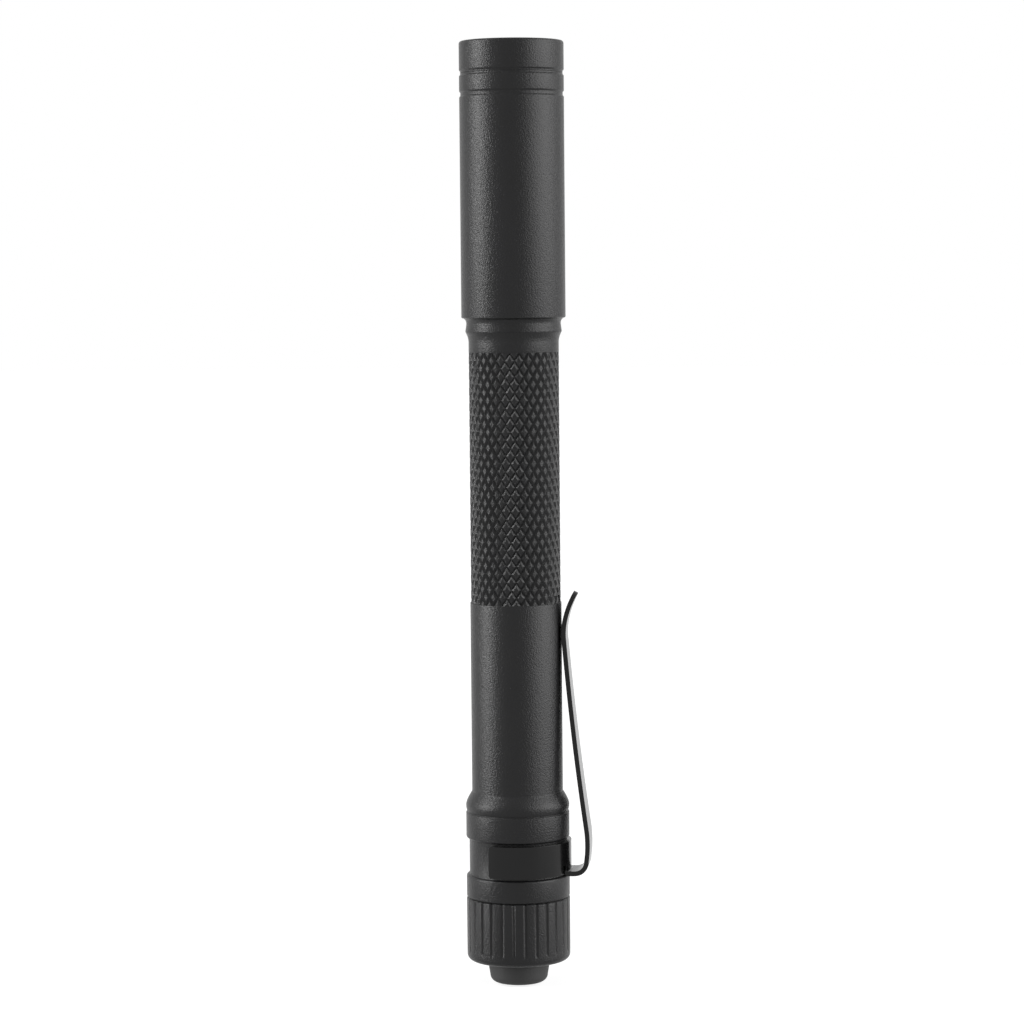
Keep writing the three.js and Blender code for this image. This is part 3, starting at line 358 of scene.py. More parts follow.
# Nickel plate on drawn steel: bright, with a slight cloudiness.
NICKEL_CLOUD = 1.2
nickel, tree, shader, place = new_finish("nickel-plated steel", Base_Color=linear("#c9ccd1"), Metallic=1.0)
cloud = add(tree, "ShaderNodeTexNoise", {"Vector": place, "Scale": 1 / (NICKEL_CLOUD * MM), "Detail": 3.0})
sheen = add(tree, "ShaderNodeMapRange", {"Value": cloud.outputs["Fac"], "To Min": 0.16, "To Max": 0.30})
tree.links.new(sheen.outputs["Result"], shader.inputs["Roughness"])

for finish in (nickel, *films):
    rear_cell.data.materials.append(finish)
bpy.context.view_layer.objects.active = rear_cell
bpy.ops.object.mode_set(mode="EDIT")
for index, (start, end) in enumerate(((film_low, band_low), (band_low, film_top)), 1):
    pick(rear_cell, "faces", lambda at: start < at.z < end and math.hypot(at.x, at.y) > can_r + NEAR)
    rear_cell.active_material_index = index
    bpy.ops.object.material_slot_assign()
bpy.ops.object.mode_set(mode="OBJECT")
bpy.ops.object.duplicate()
front_cell = bpy.context.object
front_cell.name = front_cell.data.name = "battery_front"
bpy.ops.transform.translate(value=(0, 0, (corners("battery_front")[0][2] - CELL_LOW) * MM))
bpy.ops.object.transform_apply()
hand_over(rear_cell, "battery_rear", "light_body", "cell_wrap")
hand_over(front_cell, "battery_front", "light_body", "cell_wrap")

# The driver: a round circuit board in the slug's rear pocket, with a brass stud that meets the front cell,
# a coil and a chip. Board, coil and chip are carried over as they are, and only get their finishes.
low, high = corners("front_contact")
STUD_R, STUD_EDGE, STUD_SIDES = high[0], 0.5, 48
STUD_FLAT_R = STUD_R - 0.6
stud = turn("front_contact", [
    (0, low[2]),
    (STUD_FLAT_R, low[2]),
    *arc((STUD_R - STUD_EDGE, low[2] + STUD_EDGE), STUD_EDGE, -90, 0),
    (STUD_R, high[2]),
    (0, high[2]),
], sides=STUD_SIDES)
break_edges(stud, TURNED_EDGE)

# Feed marks and grain, in mm, for the turned metals and the moulded plastics. A wave texture's bands are
# pi / 10 apart at a scale of 1.
FEED_DEPTH, FEED_SHEEN = 0.01, 0.06
WAVE_SCALE = math.pi / 10
GRAIN_DEPTH, GRAIN_SHEEN, GRAIN_PALER = 0.01, 0.05, 1.18


def dress(node, finish):
    """Gives a solid that is carried over its finish."""
    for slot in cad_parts[node].material_slots:
        slot.link = "OBJECT"
        slot.material = finish


def turned_metal(name, colour, roughness, pitch):
    """A bare turned metal: the tool's feed leaves fine rings, a pitch in mm apart, in its highlights."""
    metal, tree, shader, place = new_finish(name, Base_Color=linear(colour), Metallic=1.0)
    rings = add(tree, "ShaderNodeTexWave", {
        "Vector": place, "Scale": WAVE_SCALE / (pitch * MM), "Distortion": 1.5}, bands_direction="Z")
    sheen = add(tree, "ShaderNodeMapRange", {
        "Value": rings.outputs["Fac"], "To Min": roughness - FEED_SHEEN, "To Max": roughness + FEED_SHEEN})
    feed = add(tree, "ShaderNodeBump", {
        "Height": rings.outputs["Fac"], "Strength": 0.4, "Distance": FEED_DEPTH * MM})
    tree.links.new(sheen.outputs["Result"], shader.inputs["Roughness"])
    tree.links.new(feed.outputs["Normal"], shader.inputs["Normal"])
    return metal


brass = turned_metal("brass, turned", "#c2a15a", roughness=0.3, pitch=0.12)
hand_over(stud, "front_contact", "light_body", "brass", brass)


def moulded(name, colour, roughness, grain):
    """A moulded or printed surface: an even colour with a slight grain, in mm, from its mould or screen."""
    plastic, tree, shader, place = new_finish(name)
    specks = add(tree, "ShaderNodeTexNoise", {"Vector": place, "Scale": 1 / (grain * MM), "Detail": 2.0})
    dark, light = linear(colour), [min(c * GRAIN_PALER, 1) for c in linear(colour)]
    tone = add(tree, "ShaderNodeMixRGB", {"Fac": specks.outputs["Fac"], "Color1": dark, "Color2": light})
    sheen = add(tree, "ShaderNodeMapRange", {
        "Value": specks.outputs["Fac"], "To Min": roughness - GRAIN_SHEEN, "To Max": roughness + GRAIN_SHEEN})
    skin = add(tree, "ShaderNodeBump", {
        "Height": specks.outputs["Fac"], "Strength": 0.3, "Distance": GRAIN_DEPTH * MM})
    tree.links.new(tone.outputs["Color"], shader.inputs["Base Color"])
    tree.links.new(sheen.outputs["Result"], shader.inputs["Roughness"])
    tree.links.new(skin.outputs["Normal"], shader.inputs["Normal"])
    return plastic


solder_mask = moulded("epoxy glass board, green solder mask", "#1f5a34", roughness=0.35, grain=0.4)
black_plastic = moulded("nylon, moulded black", "#202020", roughness=0.5, grain=0.15)
dress("driver_board", solder_mask)
dress("driver_inductor", black_plastic)
dress("driver_chip", black_plastic)

# The slug and its leads: a turned aluminium slug, pressed into the head, carries the emitter and takes its
# heat away; two sleeved leads rise through it and lap over the emitter's board.
bare_aluminium = turned_metal("aluminium, turned bare", "#b9bbbe", roughness=0.34, pitch=0.15)
dress("heat_sink", bare_aluminium)
LEAD_D, LEAD_BEND, LEAD_Y = 0.7, 0.6, 4.25
WIRE_ROUNDNESS, WIRE_SMOOTH = 3, 50


def wire(name, points, diameter):
    """A round wire: its path is drawn and made a curve, and the curve is given its thickness."""
    draw(points)
    bpy.ops.object.mode_set(mode="OBJECT")
    bpy.ops.object.convert(target="CURVE")
    piece = bpy.context.object
    piece.data.bevel_depth = diameter / 2 * MM
    piece.data.bevel_resolution = WIRE_ROUNDNESS
    piece.data.use_fill_caps = True
    bpy.ops.object.convert(target="MESH")
    piece = bpy.context.object
    piece.name = piece.data.name = name
    bpy.ops.object.transform_apply()
    bpy.ops.object.mode_set(mode="EDIT")
    bpy.ops.mesh.select_all(action="SELECT")
    bpy.ops.mesh.remove_doubles(threshold=WELD)
    bpy.ops.mesh.normals_make_consistent(inside=False)
    bpy.ops.object.mode_set(mode="OBJECT")
    smooth(piece, WIRE_SMOOTH)
    return piece


red_sleeve = moulded("silicone sleeve, red", "#9c1f1f", roughness=0.5, grain=0.3)
for node, side, slot, finish in (
        ("led_wire_positive", -1, "red_sleeve", red_sleeve),
        ("led_wire_negative", 1, "black_plastic", black_plastic)):
    low, high = corners(node)
    lead_top = high[2] - LEAD_D / 2
    inner = min(abs(low[1]), abs(high[1]))
    bend = arc((LEAD_Y - LEAD_BEND, lead_top - LEAD_BEND), LEAD_BEND, 0, 90)
    path = [(LEAD_Y, low[2]), *bend, (inner, lead_top)]
    lead = wire(node, [(0, side * y, z) for y, z in path], LEAD_D)
    hand_over(lead, node, "light_body", slot, finish)

# The emitter: a metal-core board with a white mask, a ceramic package with its phosphor, a clear silicone
# dome over that, and a white ring that centres it in the reflector.
low, high = corners("led_board")
LED_BOARD_R, LED_BOARD_EDGE = high[0], 0.06
led_board = turn("led_board", [
    (0, low[2]),
    (LED_BOARD_R, low[2]),
    (LED_BOARD_R, high[2]),
    (0, high[2]),
], sides=SMALL_SIDES)
break_edges(led_board, LED_BOARD_EDGE)
white_mask = moulded("aluminium-core board, white mask", "#e2e2dc", roughness=0.4, grain=0.3)
hand_over(led_board, "led_board", "light_body", "led_board_white", white_mask)
low, high = corners("led_package")
size = [h - l for l, h in zip(low, high)]
middle = [(h + l) / 2 * MM for l, h in zip(low, high)]
PHOSPHOR_INSET, PHOSPHOR_DROP, PACKAGE_EDGE = 0.35, 0.05, 0.04
bpy.ops.object.select_all(action="DESELECT")
bpy.ops.mesh.primitive_cube_add(size=MM, location=middle)
package = bpy.context.object
package.name = package.data.name = "led_package"
bpy.ops.object.mode_set(mode="EDIT")
bpy.ops.mesh.select_all(action="SELECT")
bpy.ops.transform.resize(value=size, center_override=middle)
pick(package, "faces", lambda at: at.z > high[2] - NEAR)
bpy.ops.mesh.inset(thickness=PHOSPHOR_INSET * MM, depth=0)
bpy.ops.transform.translate(value=(0, 0, -PHOSPHOR_DROP * MM))
bpy.ops.object.mode_set(mode="OBJECT")
bpy.ops.object.transform_apply()
ceramic = moulded("alumina ceramic, sintered", "#dcd6c8", roughness=0.45, grain=0.2)
phosphor = moulded("phosphor in silicone", "#d9b52e", roughness=0.55, grain=0.05)
break_edges(package, PACKAGE_EDGE)
hand_over(package, "led_package", "light_body", "led_ceramic", ceramic, phosphor)
bpy.context.view_layer.objects.active = package
bpy.ops.object.mode_set(mode="EDIT")
phosphor_z, phosphor_half = high[2] - PHOSPHOR_DROP, size[0] / 2 - PHOSPHOR_INSET
pick(package, "faces", lambda at: (
    abs(at.z - phosphor_z) < 2 * NEAR and max(abs(at.x), abs(at.y)) < phosphor_half))
package.active_material_index = 1
bpy.ops.object.material_slot_assign()
bpy.ops.object.mode_set(mode="OBJECT")
low, high = corners("led_dome")
DOME_R, DOME_END, DOME_EDGE = high[2] - low[2], 88, 0.02
dome = turn("led_dome", [
    (0, low[2]),
    *arc((0, low[2]), DOME_R, 0, DOME_END, steps=16),
    (0, high[2]),
], sides=SMALL_SIDES)
break_edges(dome, DOME_EDGE)
HAZE = 0.5
silicone, tree, shader, place = new_finish(
    "silicone, cast clear", Base_Color=linear("#fdf3d4"), Transmission_Weight=1.0, IOR=1.41)
haze = add(tree, "ShaderNodeTexNoise", {"Vector": place, "Scale": 1 / (HAZE * MM)})
sheen = add(tree, "ShaderNodeMapRange", {"Value": haze.outputs["Fac"], "To Min": 0.02, "To Max": 0.08})
tree.links.new(sheen.outputs["Result"], shader.inputs["Roughness"])
hand_over(dome, "led_dome", "light_body", "led_silicone", silicone)
white_plastic = moulded("acetal, moulded white", "#dededa", roughness=0.45, grain=0.2)
dress("led_gasket", white_plastic)

# The head: a plain turned sleeve with a cove at its neck and a groove near its front, glued on the barrel's
# spigot. Same blasted and anodised aluminium as the barrel.
low, high = corners("head_shell")
HEAD_LOW, HEAD_HIGH, HEAD_R = low[2], high[2], high[0]
COVE_R, COVE_LOW, COVE_HIGH = 6.86, HEAD_LOW + 1.15, HEAD_LOW + 1.97
HEAD_EDGE = 0.12
BEZEL_SEAT = HEAD_HIGH - 1.9
HEAD_GROOVE = BEZEL_SEAT - 3.04
NOTCH_HALF, NOTCH_FLOOR_HALF, NOTCH_DEPTH = 0.44, 0.22, 0.17
HEAD_SPIGOT_R, HEAD_BORE_R, HEAD_REAR_R = 6.93, 6.53, 6.2
LEDGE_LOW, LEDGE_HIGH, LEDGE_R = HEAD_LOW + 9.0, HEAD_LOW + 13.5, 5.6
underside = HEAD_R - HEAD_EDGE
floor_r = HEAD_R - NOTCH_DEPTH
cove = [(underside + (underside - COVE_R) * x, COVE_LOW + (COVE_HIGH - COVE_LOW) * z)
        for x, z in arc((0, 0), 1, 180, 90)]
head = turn("head_shell", ring([
    (HEAD_REAR_R, HEAD_LOW),
    (RIDGE_R, HEAD_LOW),
    *cove,
    (HEAD_R, COVE_HIGH + HEAD_EDGE),
    (HEAD_R, HEAD_GROOVE - NOTCH_HALF),
    (floor_r, HEAD_GROOVE - NOTCH_FLOOR_HALF),
    (floor_r, HEAD_GROOVE + NOTCH_FLOOR_HALF),
    (HEAD_R, HEAD_GROOVE + NOTCH_HALF),
    (HEAD_R, BEZEL_SEAT - NOTCH_HALF),
    (floor_r, BEZEL_SEAT - NOTCH_FLOOR_HALF),
    (floor_r, BEZEL_SEAT),
    (HEAD_SPIGOT_R, BEZEL_SEAT),
    (HEAD_SPIGOT_R, HEAD_HIGH),
    (HEAD_BORE_R, HEAD_HIGH),
    (HEAD_BORE_R, LEDGE_HIGH),
    (LEDGE_R, LEDGE_HIGH),
    (LEDGE_R, LEDGE_LOW),
    (HEAD_REAR_R, LEDGE_LOW),
]))
break_edges(head, TURNED_EDGE)
hand_over(head, "head_shell", "light_body", "anodised_black", anodised)

# The seals: nitrile rings of round section, squeezed to an oval where they sit: between barrel and head,
# between window and bezel, and in the groove of the tail cap's spigot.
SEAL_SMOOTH, RING_SIDES = 60, 96
nitrile = moulded("nitrile rubber, greased", "#141414", roughness=0.38, grain=0.25)
for node, body, width in (("head_o_ring", "light_body", 0.4), ("lens_o_ring", "light_body", 0.6),
                          ("tail_o_ring", "tail_seal", 0.4)):
    low, high = corners(node)
    across, tall = width / 2, (high[2] - low[2]) / 2
    section = [(high[0] - across + across * x, low[2] + tall + tall * z)
               for x, z in arc((0, 0), 1, 0, 360, steps=16)]
    seal = turn(node, section, sides=RING_SIDES)
    smooth(seal, SEAL_SMOOTH)
    hand_over(seal, node, body, "nitrile", nitrile)

# The reflector: a parabolic cup turned from aluminium and plated bright inside, with a hole for the emitter.
# The window clamps its rim against the head's front edge.
low, high = corners("reflector")
CUP_LOW, CUP_HIGH, CUP_R = low[2], high[2], high[0]
CUP_HOLE_R, CUP_WALL, CUP_FLANGE, CUP_EDGE, CUP_STEPS = 1.9, 0.8, 0.5, 0.03, 32
CUP_RIM_R = CUP_R - CUP_FLANGE
four_focal = (CUP_RIM_R ** 2 - CUP_HOLE_R ** 2) / (CUP_HIGH - CUP_LOW)


def cup_height(radius):
    """Height of the bright parabola at a radius."""
    return CUP_LOW + (radius ** 2 - CUP_HOLE_R ** 2) / four_focal


cup_back = CUP_R - CUP_WALL - CUP_FLANGE
bright = [CUP_RIM_R + (CUP_HOLE_R - CUP_RIM_R) * step / CUP_STEPS for step in range(CUP_STEPS + 1)]
reflector = turn("reflector", ring([
    (CUP_HOLE_R + CUP_WALL, CUP_LOW),
    (cup_back, cup_height(cup_back) - CUP_WALL),
    (CUP_R, cup_height(cup_back)),
    (CUP_R, CUP_HIGH),
    *[(radius, cup_height(radius)) for radius in bright],
]), sides=RING_SIDES)
break_edges(reflector, CUP_EDGE)
PEEL = 0.8
plating, tree, shader, place = new_finish(
    "aluminium, vapour plated bright", Base_Color=linear("#e4e6e9"), Metallic=1.0)
peel = add(tree, "ShaderNodeTexNoise", {"Vector": place, "Scale": 1 / (PEEL * MM), "Detail": 2.0})
sheen = add(tree, "ShaderNodeMapRange", {"Value": peel.outputs["Fac"], "To Min": 0.03, "To Max": 0.09})
tree.links.new(sheen.outputs["Result"], shader.inputs["Roughness"])
hand_over(reflector, "reflector", "light_body", "reflector_coat", plating)

# The window: a disc cut from clear float glass, with ground edges. It is held between the reflector's rim and
# the bezel's seal.
low, high = corners("lens_window")
WINDOW_R, GROUND_EDGE, WINDOW_EDGE = high[0], 0.15, 0.02
window = turn("lens_window", [
    (0, low[2]),
    (WINDOW_R - GROUND_EDGE, low[2]),
    (WINDOW_R, low[2] + GROUND_EDGE),
    (WINDOW_R, high[2] - GROUND_EDGE),
    (WINDOW_R - GROUND_EDGE, high[2]),
    (0, high[2]),
], sides=RING_SIDES)
break_edges(window, WINDOW_EDGE)
DUST = 2.0
glass, tree, shader, place = new_finish(
    "float glass, clear", Base_Color=linear("#f7fbfa"), Transmission_Weight=1.0, IOR=1.52)
dust = add(tree, "ShaderNodeTexNoise", {"Vector": place, "Scale": 1 / (DUST * MM), "Detail": 3.0})
sheen = add(tree, "ShaderNodeMapRange", {"Value": dust.outputs["Fac"], "To Min": 0.0, "To Max": 0.03})
tree.links.new(sheen.outputs["Result"], shader.inputs["Roughness"])
hand_over(window, "lens_window", "light_body", "clear_glass", glass)

# The bezel: a turned front ring that clamps the window, parted from the head at its front groove. It has the
# same blasted and anodised finish as the head.
FRONT = corners("bezel_ring")[1][2]
BEZEL_BORE_R, APERTURE_R, LIP_LOW = 7.03, 6.03, FRONT - 0.8
BEZEL_EDGE, INNER_CHAMFER = 0.4, 0.3
bezel = turn("bezel_ring", ring([
    (BEZEL_BORE_R, BEZEL_SEAT),
    (floor_r, BEZEL_SEAT),
    (floor_r, BEZEL_SEAT + NOTCH_FLOOR_HALF),
    (HEAD_R, BEZEL_SEAT + NOTCH_HALF),
    *arc((HEAD_R - BEZEL_EDGE, FRONT - BEZEL_EDGE), BEZEL_EDGE, 0, 90),
    (APERTURE_R + INNER_CHAMFER, FRONT),
    (APERTURE_R, FRONT - INNER_CHAMFER),
    (APERTURE_R, LIP_LOW),
    (BEZEL_BORE_R, LIP_LOW),
]))
break_edges(bezel, TURNED_EDGE)
hand_over(bezel, "bezel_ring", "light_body", "anodised_black", anodised)

# The tail cap: a short fluted cap with a round rear edge and a threaded spigot inside the barrel. The flutes
# are vee grooves that run out before the edge; the thread is cut on the spigot past the seal's groove.
low, high = corners("tail_cap")
CAP_LOW, CAP_HIGH, CAP_R = low[2], high[2], COLLAR_R
CAP_FILLET, CAP_CHAMFER = 0.9, 0.2
FLUTES, SIDES_PER_FLUTE = 28, 6
FLUTE_DEPTH, FLUTE_LOW, FLUTE_RUNOUT = 0.22, CAP_LOW + 1.45, 0.45
HOLE_R, POCKET_R, POCKET_LOW = 4.53, 5.3, CAP_LOW + 1.2
SPIGOT_R, SEAL_LOW, SEAL_HIGH, SEAL_FLOOR_R = 6.15, SEAM + 0.6, SEAM + 1.7, 5.7
THREAD_PITCH, THREAD_ROOT_R, THREAD_RELIEF = 0.8, 5.95, 0.2
THREAD_RIDGE, THREAD_START, THREAD_TURNS, THREAD_STEPS = THREAD_PITCH * 0.45, SEAL_HIGH + 0.7, 4, 48
FLUTED_EDGE, FLUTED_SHARP = 0.04, 25
flute_top = SEAM - CAP_CHAMFER
cap = turn("tail_cap", ring([
    (HOLE_R, CAP_LOW),
    *arc((CAP_R - CAP_FILLET, CAP_LOW + CAP_FILLET), CAP_FILLET, -90, 0, steps=8),
    (CAP_R, FLUTE_LOW),
    (CAP_R, FLUTE_LOW + FLUTE_RUNOUT),
    (CAP_R, flute_top),
    (CAP_R - CAP_CHAMFER, SEAM),
    (SPIGOT_R, SEAM),
    (SPIGOT_R, SEAL_LOW),
    (SEAL_FLOOR_R, SEAL_LOW),
    (SEAL_FLOOR_R, SEAL_HIGH),
    (SPIGOT_R, SEAL_HIGH),
    (THREAD_ROOT_R, SEAL_HIGH + THREAD_RELIEF),
    (THREAD_ROOT_R, CAP_HIGH),
    (POCKET_R, CAP_HIGH),
    (POCKET_R, POCKET_LOW),
    (HOLE_R, POCKET_LOW),
]), sides=FLUTES * SIDES_PER_FLUTE)
bpy.ops.object.mode_set(mode="EDIT")


def on_flute(at):
    """Whether a point on the cap's skin lies on the floor line of a flute."""
    turns = math.atan2(at.y, at.x) / (2 * math.pi) * FLUTES
    outside = math.hypot(at.x, at.y) > CAP_R - CAP_CHAMFER - NEAR
    return outside and at.z > FLUTE_LOW + NEAR and abs(turns - round(turns)) < NEAR


pick(cap, "verts", on_flute)
deep = 1 - FLUTE_DEPTH / CAP_R
bpy.ops.transform.resize(value=(deep, deep, 1), center_override=(0, 0, 0))
bpy.ops.object.mode_set(mode="OBJECT")
break_edges(cap, FLUTED_EDGE, sharp=FLUTED_SHARP)
bpy.ops.object.select_all(action="DESELECT")
bpy.ops.mesh.primitive_circle_add(
    vertices=3, radius=THREAD_RIDGE * MM, rotation=(math.pi / 2, 0, 0),
    location=(THREAD_ROOT_R * MM, 0, THREAD_START * MM))
thread = bpy.context.object
bpy.ops.object.mode_set(mode="EDIT")
bpy.ops.mesh.select_all(action="SELECT")
bpy.ops.transform.rotate(value=math.pi / 2, orient_axis="Y", center_override=thread.location)
bpy.ops.object.mode_set(mode="OBJECT")
bpy.ops.object.transform_apply()
winding = thread.modifiers.new("winding", "SCREW")
winding.screw_offset = THREAD_PITCH * MM
winding.iterations = THREAD_TURNS
winding.steps = winding.render_steps = THREAD_STEPS
bpy.ops.object.modifier_apply(modifier=winding.name)
bpy.ops.object.mode_set(mode="EDIT")
bpy.ops.mesh.select_all(action="SELECT")
bpy.ops.mesh.fill_holes(sides=3)
bpy.ops.mesh.normals_make_consistent(inside=False)
bpy.ops.object.mode_set(mode="OBJECT")
cap.select_set(True)
bpy.context.view_layer.objects.active = cap
bpy.ops.object.join()
hand_over(cap, "tail_cap", "tail_cap", "anodised_black", anodised)

# The tail button: a cap of moulded rubber with a round edge, a slightly tapered side and a flange that the
# switch clamps in the tail cap.
FLANGE_R, _, FLANGE_TOP = corners("switch_boot")[1]
FLANGE_LOW, ROOT_LOW = POCKET_LOW, CAP_LOW - 1.2
TIP_R, ROOT_R, HOLLOW_R, END_WALL, TIP_EDGE = 4.25, 4.43, 3.4, 1.4, 1.1
WALL_STEPS, RUBBER_EDGE = 8, 0.08
side_heights = [ROOT_LOW + (FLANGE_LOW - ROOT_LOW) * step / WALL_STEPS for step in range(WALL_STEPS + 1)]
hollow_heights = [FLANGE_TOP + (END_WALL - FLANGE_TOP) * step / WALL_STEPS for step in range(WALL_STEPS + 1)]
boot = turn("switch_boot", [
    (0, 0),
    (TIP_R - TIP_EDGE, 0),
    *arc((TIP_R - TIP_EDGE, TIP_EDGE), TIP_EDGE, -90, 0, steps=10)[1:],
    *[(ROOT_R, height) for height in side_heights],
    (FLANGE_R, FLANGE_LOW),
    (FLANGE_R, FLANGE_TOP),
    *[(HOLLOW_R, height) for height in hollow_heights],
    (0, END_WALL),
], sides=RING_SIDES)
break_edges(boot, RUBBER_EDGE)
rubber = moulded("silicone rubber, moulded matte black", "#121212", roughness=0.66, grain=0.12)
boot.data.materials.append(rubber)
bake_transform(boot)
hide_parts("switch_boot")

# The push-push switch behind the button: a moulded cup with a stem, a star that latches it, a brass bridge
# and two posts, closed by a base and a round board, and clamped by a slotted brass ring. All are carried
# over, and only get their finishes.
for node, finish in (
        ("switch_housing", black_plastic), ("switch_base", black_plastic), ("switch_plunger", white_plastic),
        ("switch_rotor", white_plastic), ("contact_bridge", brass), ("center_terminal", brass),
        ("side_terminal", brass), ("switch_board", solder_mask), ("retaining_ring", brass)):
    dress(node, finish)

# The springs: coils of plated steel wire with closed ends. The conical one carries the current from the rear
# cell; the small one returns the button.
COIL_STEPS, END_CLOSING = 48, 0.08


def coil(node, base_r, tip_r, diameter, turns):
    """A wound spring between its solid's ends; its pitch halves towards both ends."""
    low, high = corners(node)
    bottom, top = low[2] + diameter / 2, high[2] - diameter / 2
    points = []
    for step in range(turns * COIL_STEPS + 1):
        share = step / (turns * COIL_STEPS)
        radius = base_r + (tip_r - base_r) * share
        angle = share * turns * 2 * math.pi
        rise = share - END_CLOSING * math.sin(2 * math.pi * share)
        points.append((radius * math.cos(angle), radius * math.sin(angle), bottom + (top - bottom) * rise))
    return wire(node, points, diameter)


battery_spring = coil("battery_spring", base_r=3.3, tip_r=2.1, diameter=0.5, turns=4)
hand_over(battery_spring, "battery_spring", "tail_cap", "plated_steel", nickel)
return_spring = coil("switch_return_spring", base_r=2.3, tip_r=2.3, diameter=0.35, turns=2)
hand_over(return_spring, "switch_return_spring", "tail_cap", "plated_steel", nickel)
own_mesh(return_spring)

# The pocket clip: one strip of spring steel, stamped, bent and coated black. Its pad and two wings spring
# round the barrel's seat, and its arm turns up at the foot and runs to a flared, round tip. The pad is bent
# first, the arm and the wings are pulled out of its edges, and the sheet gets its thickness last.
SHEET, SHEET_EDGE, SHEET_SHARP, GRIP_GAP, TOUCH_GAP = 0.68, 0.1, 40, 0.05, 0.1
CLIP_HALF, TIP_HALF, TIP_STOP, PAD_STEPS = 2.75, 2.1, 0.99, 8
BAND_MIDDLE, BAND_HALF = (SEAT_LOW + SEAT_HIGH) / 2, 2.35
BAND_LOW, BAND_HIGH = BAND_MIDDLE - BAND_HALF, BAND_MIDDLE + BAND_HALF
NOTCH_HIGH, NOTCH_SIDE, NOTCH_CORNER = BAND_LOW + 1.3, CLIP_HALF + 0.7, 0.65
WING_END, WING_CORNER, CORNER_ROOM, CORNER_SEGMENTS = 118, 0.45, 1.2, 6
FOOT_BEND, HEEL_BEND, REACH, FLATTENING = 0.6, 1.75, 2.75, 1.2
BULGE_OUT, BULGE_RISE, BULGE_LEAD = 0.24, 2.8, 1.7
ARM_SAG, TOUCH_LEAD = 0.4, 1.6
TIP_FLARE, TIP_RISE, TIP_CURL = 1.75, 5.8, 0.6
PAD_X = seat_r + GRIP_GAP + SHEET / 2
TOUCH_X, TOUCH_Z = BARREL_R + TOUCH_GAP + SHEET / 2, KNURL_LOW - 4.3
heel = (PAD_X + REACH, BAND_LOW + HEEL_BEND)
bulge = (heel[0] + BULGE_OUT, heel[1] + BULGE_RISE)
slope = (TOUCH_X - bulge[0]) / (TOUCH_Z - bulge[1])
bulge_start = (heel[0] + BULGE_OUT / 2, bulge[1] - BULGE_LEAD)
bulge_end = (bulge[0] + BULGE_LEAD * slope, bulge[1] + BULGE_LEAD)
touch_start = (TOUCH_X - TOUCH_LEAD / 2 * slope, TOUCH_Z - TOUCH_LEAD)
touch_end = (TOUCH_X - TOUCH_LEAD * slope, TOUCH_Z + TOUCH_LEAD)
arm_middle = ((bulge_end[0] + touch_start[0]) / 2 - ARM_SAG, (bulge_end[1] + touch_start[1]) / 2)
touch_corner = (2 * TOUCH_X - (touch_start[0] + touch_end[0]) / 2, TOUCH_Z)
tip = (TOUCH_X + TIP_FLARE, TOUCH_Z + TIP_RISE)
tip_corner = (TOUCH_X + TIP_CURL, (touch_end[1] + tip[1]) / 2)
strip = [
    *arc((PAD_X + FOOT_BEND, BAND_LOW + FOOT_BEND), FOOT_BEND, 180, 270),
    *arc((heel[0] - HEEL_BEND, heel[1]), HEEL_BEND, -90, 0, steps=12),
    *sweep(bulge_start, bulge, bulge_end),
    *sweep(bulge_end, arm_middle, touch_start, steps=16)[1:],
    *sweep(touch_start, touch_corner, touch_end)[1:],
    *sweep(touch_end, tip_corner, tip, steps=24)[1:],
]
ROUND_START = tip[1] - TIP_HALF


def strip_half(height):
    """Half of the strip's width: even at the pad, narrowing up the arm and round at the tip."""
    share = min(max((height - BAND_HIGH) / (ROUND_START - BAND_HIGH), 0), 1)
    straight = CLIP_HALF + (TIP_HALF - CLIP_HALF) * share
    over = min(max(height - ROUND_START, 0), TIP_HALF * TIP_STOP)
    return math.sqrt(straight ** 2 - over ** 2)


def curved(radius):
    """How much of the pad's curve the foot still has, from 1 down to 0 as it leaves the barrel."""
    return min(max(1 - (radius - PAD_X - SHEET / 2) / FLATTENING, 0), 1)


def pull(path):
    """Pulls the picked edges along a path of places on the level, in mm."""
    for (x0, y0), (x1, y1) in zip(path, path[1:]):
        step = ((x1 - x0) * MM, (y1 - y0) * MM, 0)
        bpy.ops.mesh.extrude_edges_move(TRANSFORM_OT_translate={"value": step})


pad_turn = math.degrees(math.asin(CLIP_HALF / PAD_X))
notch_turn = math.degrees(math.asin(NOTCH_SIDE / PAD_X))
corner_turn = notch_turn + math.degrees(CORNER_ROOM * NOTCH_CORNER / PAD_X)
pad = arc((0, 0), PAD_X, -pad_turn, pad_turn, steps=PAD_STEPS)
wing = [
    pad[-1],
    *arc((0, 0), PAD_X, notch_turn, corner_turn, steps=1),
    *arc((0, 0), PAD_X, corner_turn, WING_END, steps=18)[1:],
]
pad_side_x, notch_x, wing_end_x = wing[0][0], wing[1][0], wing[-1][0]
clip = draw([(*pad[0], NOTCH_HIGH), (*pad[0], BAND_HIGH)])
clip.name = clip.data.name = "pocket_clip"
pick(clip, "edges", lambda at: True)
pull(pad)
pick(clip, "edges", lambda at: at.z < NOTCH_HIGH + NEAR)
x, z = PAD_X, NOTCH_HIGH
for next_x, next_z in strip:
    step = ((next_x - x) * MM, 0, (next_z - z) * MM)
    bpy.ops.mesh.extrude_edges_move(TRANSFORM_OT_translate={"value": step})
    flatter = curved(next_x) / curved(x) if curved(x) else 1
    narrower = strip_half(next_z) / strip_half(z)
    bpy.ops.transform.resize(value=(flatter, narrower, 1), center_override=(next_x * MM, 0, 0))
    x, z = next_x, next_z
